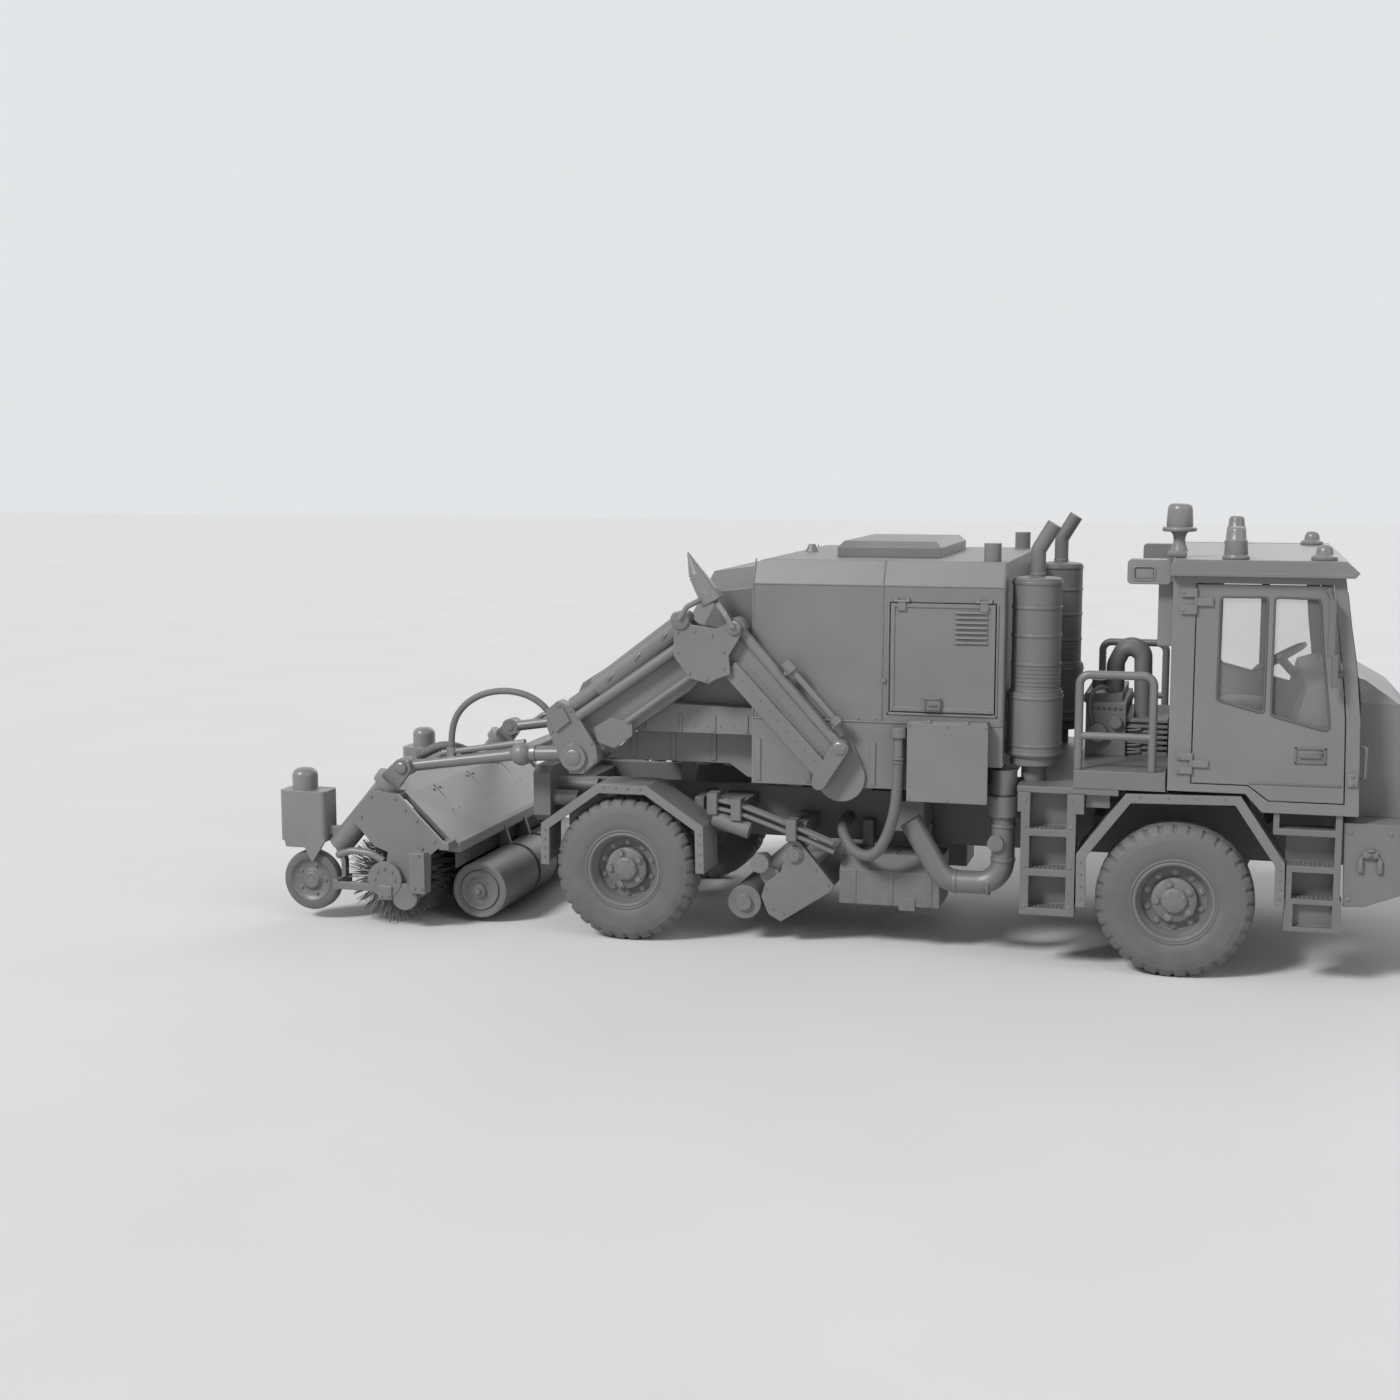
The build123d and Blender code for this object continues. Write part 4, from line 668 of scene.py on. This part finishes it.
def seats():
    for place, y in (("right", -480), ("left", 480)):
        bm = bmesh.new()
        add_cushion(bm, at(152, y - 248, 1700), at(638, y + 248, 1828), 0.022, (-0.55, 0.55))
        pad = finish_piece(f"seat_{place}_cushion", bm, "root", "trim", SEAT_CLOTH, replaces=("seats",))
        bm = bmesh.new()
        middle = at(95, y, 2140)
        upright = Matrix.Rotation(math.radians(-5), 4, "Y") @ Matrix.Rotation(math.radians(90), 4, "Y")
        half = Vector((0.335, 0.235, 0.056))
        add_cushion(bm, middle - half, middle + half, 0.016, (-0.6, 0.6), tilt=upright)
        pad = finish_piece(f"seat_{place}_back", bm, "root", "trim", SEAT_CLOTH, replaces=("seats",))
        bm = bmesh.new()
        add_block(bm, at(190, y - 185, 1396), at(550, y + 185, 1440), 0.01)
        add_block(bm, at(170, y - 205, 1660), at(610, y + 205, 1700), 0.01)
        for k in range(6):
            z = 1450 + k * 36
            shrink = 22 if k % 2 else 0
            low = at(205 + shrink, y - 170 + shrink, z)
            add_block(bm, low, at(535 - shrink, y + 170 - shrink, z + 36), 0.008)
        finish_piece(f"seat_{place}_base", bm, "root", "trim", replaces=("seats",))


# Nose

LAMP_ROWS = [
    (-0.02, 0.0), (-0.02, 0.098), (0.03, 0.1), (0.036, 0.092), (0.026, 0.084), (0.03, 0.04), (0.034, 0.0),
]
NOSE_SLOPE = Vector((0.984, 0, 0.179))
GRILLE_Z, GRILLE_PITCH, GRILLE_HALF_Y = 1225, 30, 514
BUMPER_Y = 1235
BUMPER_BOLTS = (
    (1160, 640), (1160, 1110), (1420, 1110), (1700, 1110), (1700, 820), (1990, 1110), (1990, 940),
)


def nose():
    lamp, bars, bolts = bmesh.new(), bmesh.new(), bmesh.new()
    for y in (-690, 690):
        add_lathe(lamp, LAMP_ROWS, at(1926, y, 1370), NOSE_SLOPE, segments=40)
    finish_piece("head_lamps", lamp, "root", "lamp")
    for k in range(9):
        z = GRILLE_Z + k * GRILLE_PITCH
        x = 1960 - (z - 1170) * 60 / 330
        add_block(bars, at(x - 20, -GRILLE_HALF_Y, z), at(x + 16, GRILLE_HALF_Y, z + 14), 0.004)
    finish_piece("nose_grille", bars, "root", "trim")
    # rims of the four bolt holes in the front plate
    for y in (-300, 300):
        for z in (920, 1100):
            ring = [at(2084, y + 20 * math.cos(a), z + 20 * math.sin(a)) for a in circle(16)]
            add_tube(bolts, ring, 0.003, sides=6, closed=True)
    for side in (RIGHT, LEFT):
        add_bolts(bolts, BUMPER_BOLTS, side * BUMPER_Y, side, 0.012)
    finish_piece("nose_bolts", bolts, "root", "steel", BOLT_STEEL)


# Enclosure and hopper

# half widths of the enclosure, the band under the hopper and its tub
BODY_Y, BAND_Y, TUB_Y = 1200, 1120, 900
BAY_FRAME = (-2065, -1268, 1803, 2612)
SIDE_BOX_BOLTS = (
    (-1880, 1745), (-1330, 1745), (-1880, 1205), (-1330, 1205), (-1605, 1745), (-1605, 1205),
)
# (x, x, z, z) of the frame round the lid's latch
LATCH_BOX = (-1787, -1669, 1846, 1932)
# (outward, up) round one blade
BLADE = ((0, 0), (14, -16), (17, -14), (3, 3))


def body_trim():
    frames, seams, bolts = bmesh.new(), bmesh.new(), bmesh.new()
    for side in (RIGHT, LEFT):
        out = Vector((0, side, 0))
        y, box_y, band_y, tub_y = (side * half for half in (BODY_Y, BODY_Y + 110, BAND_Y, TUB_Y))
        x0, x1, z0, z1 = BAY_FRAME
        for bar in ((x0, x1, z0, z0 + 17), (x0, x0 + 15, z0, z1), (x1 - 13, x1, z0, z1)):
            add_side_block(frames, *bar, y, side, 2, 9, 0.003)
        # folded seam between the two side panels, and corner folds
        for x in (-2100, -3062, -1236):
            fold = [at(x, y + side, 1752), at(x, y + side, 2735), at(x, y - side * 92, 2911)]
            add_tube(seams, fold, 0.006, 8)
        add_tube(seams, [at(-3060, y, 2735), at(-1230, y, 2735)], 0.005, sides=8)
        add_side_block(seams, -3066, -1228, 1738, 1752, y, side, 2, 6, 0.002)
        add_bolts(bolts, [(-3040 + k * 128, 1768) for k in range(8)], y, side, 0.007)
        add_drum(bolts, at(-2087, y + side * 8, 2053), out, 0.017, 0.022)
        # stiffeners of the lower body
        for x in (-3020, -2640, -2160):
            add_side_block(seams, x - 20, x + 20, 1275, 1590, y, side, 1, 8, 0.004)
        add_bolts(bolts, SIDE_BOX_BOLTS, box_y, side, 0.008)
        for x in (-1740, -1470):
            add_side_block(frames, x - 16, x + 16, 1757, 1782, box_y, side, 50, -1, 0.004)
        for x in (-3900, -3640, -3380, -3130):
            add_side_block(seams, x - 14, x + 14, 1612, 1740, band_y, side, 1, 7, 0.003)
        add_bolts(bolts, [(-3930 + k * 100, 1655) for k in range(9)], band_y, side, 0.006)
        for x in (-4080, -3760, -3440):
            add_side_block(seams, x - 22, x + 22, 1362, 1590, tub_y, side, 1, 10, 0.004)
    # beads round the steep rear face
    for y in (-700, 700):
        add_tube(seams, [at(-3498, y, 2718), at(-3930, y, 1912)], 0.012, sides=8)
    for x, z in ((-3500, 2715), (-3932, 1908)):
        add_tube(seams, [at(x, -700, z), at(x, 700, z)], 0.012, sides=8)
    finish_piece("body_frames", frames, "root", "body")
    finish_piece("body_seams", seams, "root", "body")
    finish_piece("body_bolts", bolts, "root", "steel", BOLT_STEEL)


def service_door_trim(place, side):
    y = side * (BODY_Y + 12)
    body = f"bay_door_{place}"
    bm = bmesh.new()
    for k in range(7):
        z = 2330 + 36 * k
        ends = [
            [bm.verts.new(at(x, y + side * (dy - 7), z + 16 + dz)) for dy, dz in BLADE]
            for x in (-1578, -1345)
        ]
        bm.faces.new(ends[0])
        bm.faces.new(list(reversed(ends[1])))
        for i in range(len(BLADE)):
            n = (i + 1) % len(BLADE)
            bm.faces.new((ends[0][i], ends[0][n], ends[1][n], ends[1][i]))
    finish_piece(f"louvre_blades_{place}", bm, body, "body")
    bm = bmesh.new()
    x0, x1, z0 = LATCH_BOX[:3]
    add_side_frame(bm, *LATCH_BOX, 12, y, side, -16, 26, 0.003)
    add_side_block(bm, x0 + 26, x1 - 26, z0 + 30, z0 + 46, y, side, -16, 30, 0.005)
    finish_piece(f"service_latch_{place}", bm, body, "trim")
    bm = bmesh.new()
    add_bolts(bm, [(x + dx, 2575) for x in (-1960, -1370) for dx in (-16, 16)], y, side, 0.006)
    add_bolts(bm, [(x, z) for x in (-2020, -1311) for z in (1850, 2100, 2350)], y, side, 0.005)
    finish_piece(f"service_door_bolts_{place}", bm, body, "steel", BOLT_STEEL)


HATCH_TOP_Z = 3024


def hatch_trim():
    bm = bmesh.new()
    for y in (-420, 420):
        grip = ((y - 70, 0), (y - 70, 5), (y + 70, 5), (y + 70, 0))
        add_tube(bm, [at(-1830, across, HATCH_TOP_Z + rise) for across, rise in grip], 0.004, 8)
    outline = ((-2480, -620), (-1820, -620), (-1820, 620), (-2480, 620))
    corners = [at(x, y, HATCH_TOP_Z - 1) for x, y in outline]
    add_tube(bm, rounded(corners, 0.08), 0.007, sides=8, closed=True)
    finish_piece("hatch_bead", bm, "hatch", "body")


# Exhausts and engine

MUFFLER_X, MUFFLER_Y = -1022, 970
# (height, radius of the shell there) of the bands, in millimetres
MUFFLER_BANDS = (
    (1540, 196), (1600, 196), (1945, 196), (1990, 178), (2185, 175), (2390, 175), (2590, 175), (2765, 175),
)
LID_ROWS = [
    (-0.01, 0.0), (-0.01, 0.172), (0.004, 0.16), (0.012, 0.1), (0.014, 0.056), (0.03, 0.06), (0.04, 0.056),
    (0.04, 0.0),
]


def mufflers():
    bands, beads = bmesh.new(), bmesh.new()
    for side in (RIGHT, LEFT):
        for z, radius in MUFFLER_BANDS:
            centre = at(MUFFLER_X, side * MUFFLER_Y, z)
            add_band(bands, centre, AXIS_Z, 0.013, radius / 1000 - 0.003, radius / 1000 + 0.005, 64)
        for k in range(5):
            rows = [(-0.006, 0.173), (0, 0.179), (0.006, 0.173)]
            centre = at(MUFFLER_X, side * MUFFLER_Y, 2030 + k * 30)
            add_lathe(beads, rows, centre, AXIS_Z, segments=64, closed=True)
        add_lathe(beads, LID_ROWS, at(MUFFLER_X, side * MUFFLER_Y, 2795), AXIS_Z, segments=64)
    finish_piece("muffler_bands", bands, "root", "steel")
    finish_piece("muffler_beads", beads, "root", "engine")


ENGINE_LINE = [
    (-640, -575, 1700), (-690, -590, 1900), (-560, -540, 2010), (-480, -420, 1900),
]


def engine_detail():
    bm = bmesh.new()
    for y in (-430, -330, -130, 60, 240):
        add_bolt(bm, at(-400, y, 1800), AXIS_X, 0.012)
    add_bolts(bm, [(-640 + k * 40, 1820) for k in range(6)], -560, RIGHT, 0.009)
    add_drum(bm, at(-600, -585, 1640), AXIS_Y, 0.07, 0.05, sides=32)
    add_drum(bm, at(-470, -580, 1720), AXIS_Y, 0.045, 0.04, sides=32)
    add_drum(bm, at(-620, -100, 1950), AXIS_Z, 0.06, 0.06, sides=32)
    finish_piece("engine_fittings", bm, "root", "engine")
    bm = bmesh.new()
    for z in (1505, 1560, 1615, 1670):
        loop = [at(-380 + 90 * math.cos(a), -530, z + 12 * math.sin(a)) for a in circle(24)]
        add_tube(bm, loop, 0.009, sides=8, closed=True)
    add_tube(bm, smooth_path("engine_line", [at(*p) for p in ENGINE_LINE]), 0.016)
    finish_piece("engine_lines", bm, "root", "trim")


# Booms and head

# (x, z, distance from the middle, radius) of the pin covers, in millimetres
LOWER_COVERS = ((-2381, 1558, 1350, 48),)
UPPER_COVERS = ((-3160, 2421, 1388, 52), (-3570, 2473, 1388, 70), (-4410, 1415, 1380, 60))
HEAD_COVERS = ((-5861, 1253, 1262, 44),)
KNUCKLE_BOLTS = (
    (-3590, 2380), (-3590, 2230), (-3500, 2080), (-3370, 2035), (-3240, 2120), (-3240, 2240), (-3330, 2360),
    (-3460, 2390),
)
ELBOW_BOLTS = (
    (-4585, 1715), (-4520, 1800), (-4430, 1765), (-4270, 1520), (-4250, 1400), (-4330, 1320), (-4500, 1440),
    (-4580, 1600),
)
BEARING_BOLTS = ((-5660, 600), (-5700, 340), (-5640, 340))
FOOT_BOLTS = ((-5925, 262), (-5985, 262))
CHEEK_BOLTS = (
    (-6080, 1030), (-5880, 1020), (-5560, 700), (-5700, 860), (-6170, 870), (-5660, 640), (-5800, 940),
)
BRUSH_X, BRUSH_Z = -5960, 392


def add_covers(bm, covers, side):
    """Round pin covers, each with a ring of six screws."""
    out = Vector((0, side, 0))
    for x, z, y, r in covers:
        rows = [(-0.004, 0.0), (-0.004, r / 1000), (0.006, r / 1000), (0.012, r / 1300), (0.012, 0.0)]
        add_lathe(bm, rows, at(x, side * y, z), out, segments=40)
        ring = [(x + r * 0.66 * math.cos(a), z + r * 0.66 * math.sin(a)) for a in circle(6)]
        add_bolts(bm, ring, side * (y + 8), side, 0.0075)


def boom_trim():
    lower, upper, arm, head = bmesh.new(), bmesh.new(), bmesh.new(), bmesh.new()
    for side in (RIGHT, LEFT):
        out = Vector((0, side, 0))
        for bm, covers in ((upper, UPPER_COVERS), (lower, LOWER_COVERS), (head, HEAD_COVERS)):
            add_covers(bm, covers, side)
        # screws along the bottom chord of the lower arm, and rivets along its web
        chord = [(-2472 - 735 * (k + 0.5) / 11, 1360 + 778 * (k + 0.5) / 11) for k in range(11)]
        add_bolts(lower, chord, side * 1342, side, 0.006)
        for k in range(26):
            t = (k + 1) / 28
            add_drum(lower, at(-2470 - 680 * t, side * 1302, 1440 + 800 * t), out, 0.008, 0.008, sides=10)
        add_bolts(upper, KNUCKLE_BOLTS, side * 1378, side, 0.009)
        add_bolts(upper, ELBOW_BOLTS, side * 1356, side, 0.009)
        # clamps round the two tubes of the upper arm
        for t in (0.18, 0.5, 0.82):
            x, z = -3570 - 662 * t, 2440 - 502 * t
            loop = [
                at(x + 52.8 * math.cos(a), side * 1290 + 88 * math.sin(a), z + 70.4 * math.cos(a))
                for a in circle(32)
            ]
            add_tube(upper, loop, 0.008, sides=8, closed=True)
        for x, z in ((-4560, 1402), (-4800, 1400)):
            add_band(arm, at(x, side * 1150, z), AXIS_X, 0.02, 0.057, 0.066, 40)
        add_bolts(head, BEARING_BOLTS, side * 1410, side, 0.01)
        add_bolts(head, FOOT_BOLTS, side * 1400, side, 0.01)
        add_bolts(head, CHEEK_BOLTS, side * 1340, side, 0.01)
        ring = [(BRUSH_X + 84 * math.cos(a), BRUSH_Z + 84 * math.sin(a)) for a in circle(8)]
        add_bolts(head, ring, side * 1385, side, 0.011)
    finish_piece("boom_lower_fastenings", lower, "boom_lower", "steel", BOLT_STEEL)
    finish_piece("boom_upper_fastenings", upper, "boom_upper", "steel", BOLT_STEEL)
    finish_piece("arm_clamps", arm, "arm", "steel", BOLT_STEEL)
    finish_piece("head_fastenings", head, "head", "steel", BOLT_STEEL)


def head_skirt():
    """Rubber flap along the hood's front edge and ribs on the hood."""
    bm = bmesh.new()
    for k in range(24):
        y = -1180 + k * 98.5
        add_block(bm, at(-5452, y, 470), at(-5444, y + 96, 668), 0.002)
    finish_piece("head_flap", bm, "head", "trim", RUBBER_SEAL)
    bm = bmesh.new()
    slope = (at(-5822, 0, 1040) - at(-5450, 0, 660)).normalized()
    face = slope.cross(AXIS_Y).normalized()
    face = face if face.z > 0 else -face
    for y in (-700, 0, 700):
        a, b = (end - face * 0.007 for end in (at(-5450, y, 660), at(-5822, y, 1040)))
        add_tube(bm, [a, b], 0.005, sides=8)
        for beside in (-60, 60):
            for share in (0.08, 0.5, 0.92):
                add_bolt(bm, a.lerp(b, share) + AXIS_Y * beside / 1000, face, 0.009)
    finish_piece("hood_ribs", bm, "head", "boom")


# Steps, tanks and the belly unit

# (x, x, heights, distance from the middle) of the treads
TREADS = ((-1005, -760, (457, 742, 1032), 1240), (800, 1050, (627, 860), 1200))
LADDER_BOLTS = (
    (-1044, 470), (-1044, 760), (-1044, 1050), (-722, 470), (-722, 760), (-722, 1050), (-1044, 1240),
    (-722, 1240),
)
# ends of each straight run of the fenders, and how far its bolts stand in from it and below it
FENDER_RUNS = (
    ((-678, 500), (-683, 850), 30, 0), ((-348, 1322), (420, 1340), 0, 32), ((737, 860), (741, 590), -30, 0),
    ((-4706, 590), (-4703, 870), 30, 0), ((-4250, 1212), (-3868, 1214), 0, 32),
    ((-3423, 900), (-3415, 590), -30, 0),
)
MID_BOLTS = (
    (-2790, 770), (-2745, 750), (-2615, 590), (-2515, 475), (-2860, 235), (-2940, 270), (-3000, 420),
)
MID_CAP_ROWS = [(0, 0.0), (0, 0.05), (0.01, 0.046), (0.01, 0.0)]
SUCTION_CLAMPS = ((-1560, 575, AXIS_X), (-1320, 575, AXIS_X), (-1218, 760, AXIS_Z), (-1218, 1010, AXIS_Z))


def add_studs(bm, side):
    """Raised grip studs on the ladder's rungs and the front steps."""
    for x0, x1, heights, y in TREADS:
        for z in heights:
            for k in range(9):
                for row in (-30, 0, 30):
                    spot = at(x0 + (x1 - x0) * k / 8, side * (y + row - 20), z + 2)
                    add_drum(bm, spot, AXIS_Z, 0.009, 0.006, 10, 0.006)


def lower_trim():
    steps, bolts, straps = bmesh.new(), bmesh.new(), bmesh.new()
    for side in (RIGHT, LEFT):
        add_studs(steps, side)
        add_bolts(bolts, LADDER_BOLTS, side * 1285, side, 0.009)
        for x in (-2330, -2050, -1760):
            add_block(straps, at(x - 18, side * 1004, 345), at(x + 18, side * 990, 600), 0.002)
            add_block(straps, at(x - 18, side * 880, 702), at(x + 18, side * 545, 708), 0.002)
        for (xa, za), (xb, zb), inset, drop in FENDER_RUNS:
            shares = [(k + 0.5) / 4 for k in range(4)]
            row = [(xa + (xb - xa) * t + inset, za + (zb - za) * t - drop) for t in shares]
            add_bolts(bolts, row, side * 1280, side, 0.008)
    finish_piece("step_studs", steps, "root", "steel")
    finish_piece("lower_bolts", bolts, "root", "steel", BOLT_STEEL)
    finish_piece("tank_straps", straps, "root", "steel")
    bm = bmesh.new()
    for side in (RIGHT, LEFT):
        add_bolts(bm, MID_BOLTS, side * 1040, side, 0.009)
        add_lathe(bm, MID_CAP_ROWS, at(-2777, side * 1058, 696), Vector((0, side, 0)), segments=32)
    finish_piece("belly_bolts", bm, "mid_unit", "steel", BOLT_STEEL)
    bm = bmesh.new()
    for x, z, axis in SUCTION_CLAMPS:
        add_band(bm, at(x, -1090, z), axis, 0.014, 0.083, 0.09, 48)
    finish_piece("suction_clamps", bm, "root", "steel")


def roller_ends():
    """Turned rings and a shaft nut on each end of the rear roller."""
    low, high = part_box("roller")
    middle = (low + high) / 2
    bm = bmesh.new()
    for y, side, stub in ((low.y, RIGHT, 0.03), (high.y, LEFT, 0.0)):
        out = Vector((0, side, 0))
        end = Vector((middle.x, y, middle.z)) - out * stub
        for ring in (0.205, 0.15, 0.098):
            rows = [(-0.004, ring - 0.012), (0.002, ring - 0.004), (0.004, ring)]
            rows += [(0.002, ring + 0.004), (-0.004, ring + 0.012)]
            add_lathe(bm, rows, end, out, segments=64, closed=True)
        add_bolt(bm, end + out * (stub - 0.002), out, 0.026)
    finish_piece("roller_end_rings", bm, "roller", "steel")


TOW_X = 1295


def tow_brackets():
    bm = bmesh.new()
    for side in (RIGHT, LEFT):
        out = Vector((0, side, 0))
        y = side * (BUMPER_Y - 1)
        add_block(bm, at(TOW_X - 50, y, 935), at(TOW_X + 50, y + side * 34, 985), 0.01)
        knob = [(0, 0), (0, 0.034), (0.012, 0.03), (0.018, 0)]
        add_lathe(bm, knob, at(TOW_X, y + side * 18, 985), AXIS_Z, segments=32)
        for beside in (-63, 63):
            x = TOW_X + beside
            inward = -24 if beside > 0 else 24
            add_block(bm, at(x - 17, y, 830), at(x + 17, y + side * 26, 925), 0.008)
            link = [at(x, y + side * 14, 925), at(x + inward, y + side * 17, 955)]
            add_tube(bm, link, 0.011, sides=10)
        add_bolt(bm, at(TOW_X, y + side * 34, 960), out, 0.011)
    finish_piece("tow_brackets", bm, "root", "steel")


ROOF_Z = 2961
# (height over the roof, radius) rows, in millimetres
BEACON_ROWS = [
    (0, 0), (0, 90), (6, 92), (20, 92), (28, 86), (30, 78), (40, 81), (120, 74), (128, 76), (134, 70),
    (140, 66), (196, 60), (212, 54), (221, 40), (224, 0),
]
KNOB_ROWS = [(0, 0), (0, 86), (8, 88), (24, 86), (32, 72), (40, 60), (66, 56), (88, 48), (102, 32), (108, 0)]
STALK_ROWS = [
    (40, 0), (40, 60), (60, 56), (90, 44), (130, 40), (160, 48), (176, 62), (180, 112), (188, 118),
    (202, 118), (210, 110), (212, 88), (222, 92), (330, 86), (358, 80), (370, 66), (375, 40), (375, 0),
]


def roof_lamps():
    bm = bmesh.new()
    spots = [(340, side * 1180, BEACON_ROWS) for side in (RIGHT, LEFT)]
    spots += [(920, side * 1160, KNOB_ROWS) for side in (RIGHT, LEFT)]
    spots += [(-45, -1010, STALK_ROWS)]
    for x, y, rows in spots:
        add_lathe(bm, [(z / 1000, r / 1000) for z, r in rows], at(x, y, ROOF_Z), AXIS_Z, segments=56)
    add_block(bm, at(-120, -1080, ROOF_Z), at(10, -940, ROOF_Z + 48), 0.018)
    for x in (-104, -6):
        for y in (-1064, -956):
            add_bolt(bm, at(x, y, ROOF_Z + 46), AXIS_Z, 0.006)
    finish_piece("roof_beacon_lamps", bm, "root", "lamp", replaces=("roof_beacons",))
    bm = bmesh.new()
    for side in (RIGHT, LEFT):
        add_block(bm, at(-330, side * 1284, 2822), at(-202, side * 1276, 2898), 0.004)
        corners = [at(x, side * 1291, z) for x, z in ((-336, 2814), (-194, 2814), (-194, 2906), (-336, 2906))]
        add_tube(bm, rounded(corners, 0.018), 0.007, sides=10, closed=True)
    finish_piece("work_lamp_lenses", bm, "root", "lamp")


# Stage, light and camera

CAMERA_PLACE = (2.72, -15.036, 3.688)
CAMERA_PITCH = 90 - 7.26
CAMERA_YAW = 15.31
FLOOR_REACH = 90.0
LIGHT_SEEN, LIGHT_ON_OBJECT = 0.8, 0.38
# (name, strength, softness in degrees, rotation in degrees)
SUNS = (
    ("key", 2.5, 14, (50, 0, -34)), ("fill", 0.45, 40, (60, 0, 60)), ("back", 0.5, 40, (60, 0, 165)),
)


def studio():
    mesh = bpy.data.meshes.new("studio_floor")
    corners = [(x * FLOOR_REACH, y * FLOOR_REACH, 0) for x, y in ((-1, -1), (1, -1), (1, 1), (-1, 1))]
    mesh.from_pydata(corners, [], [(0, 1, 2, 3)])
    floor = bpy.data.objects.new("studio_floor", mesh)
    bpy.context.scene.collection.objects.link(floor)
    material, tree, shader = blank("pale_floor")
    place = node(tree, "ShaderNodeTexCoord").outputs["Object"]
    cloud = node(tree, "ShaderNodeTexNoise", {"Vector": place, "Scale": 0.6, "Detail": 3.0}).outputs[0]
    tree.links.new(mixed(tree, cloud, grey(0.66), grey(0.72)), shader.inputs["Base Color"])
    shader.inputs["Roughness"].default_value = 0.9
    mesh.materials.append(material)

    world = bpy.data.worlds.new("studio_world")
    bpy.context.scene.world = world
    world.use_nodes = True
    tree = world.node_tree
    back = tree.nodes["Background"]
    back.inputs["Color"].default_value = (0.96, 0.98, 1.0, 1.0)
    ray = node(tree, "ShaderNodeLightPath").outputs
    seen = ray["Is Camera Ray"]
    for kind in ("Is Glossy Ray", "Is Transmission Ray"):
        seen = node(tree, "ShaderNodeMath", {0: seen, 1: ray[kind]}, operation="MAXIMUM").outputs[0]
    tree.links.new(spread(tree, seen, 0.0, 1.0, LIGHT_ON_OBJECT, LIGHT_SEEN), back.inputs["Strength"])

    for name, strength, soft, turn in SUNS:
        light = bpy.data.lights.new(name, "SUN")
        light.energy = strength
        light.angle = math.radians(soft)
        lamp = bpy.data.objects.new(name, light)
        lamp.rotation_euler = [math.radians(a) for a in turn]
        bpy.context.scene.collection.objects.link(lamp)

    camera = bpy.data.objects.new("camera", bpy.data.cameras.new("camera"))
    camera.data.lens = 50
    camera.data.sensor_width = 36
    camera.data.clip_end = 300
    camera.location = CAMERA_PLACE
    camera.rotation_euler = (math.radians(CAMERA_PITCH), 0, math.radians(CAMERA_YAW))
    bpy.context.scene.collection.objects.link(camera)
    bpy.context.scene.camera = camera
    bpy.context.scene.view_settings.view_transform = "Standard"


finish_cad_nodes()
for place, side in SIDES:
    road_wheel(f"wheel_front_{place}", f"wheel_front_{place}", side)
    road_wheel(f"wheel_rear_{place}", f"wheel_rear_{place}", side)
    gauge_wheel(f"gauge_wheel_{place}", f"gauge_{place}", side)
    door_trim(place, side)
    service_door_trim(place, side)
brush()
hoses()
cab_trim()
seats()
nose()
body_trim()
hatch_trim()
mufflers()
engine_detail()
boom_trim()
head_skirt()
lower_trim()
roof_lamps()
roller_ends()
tow_brackets()
studio()
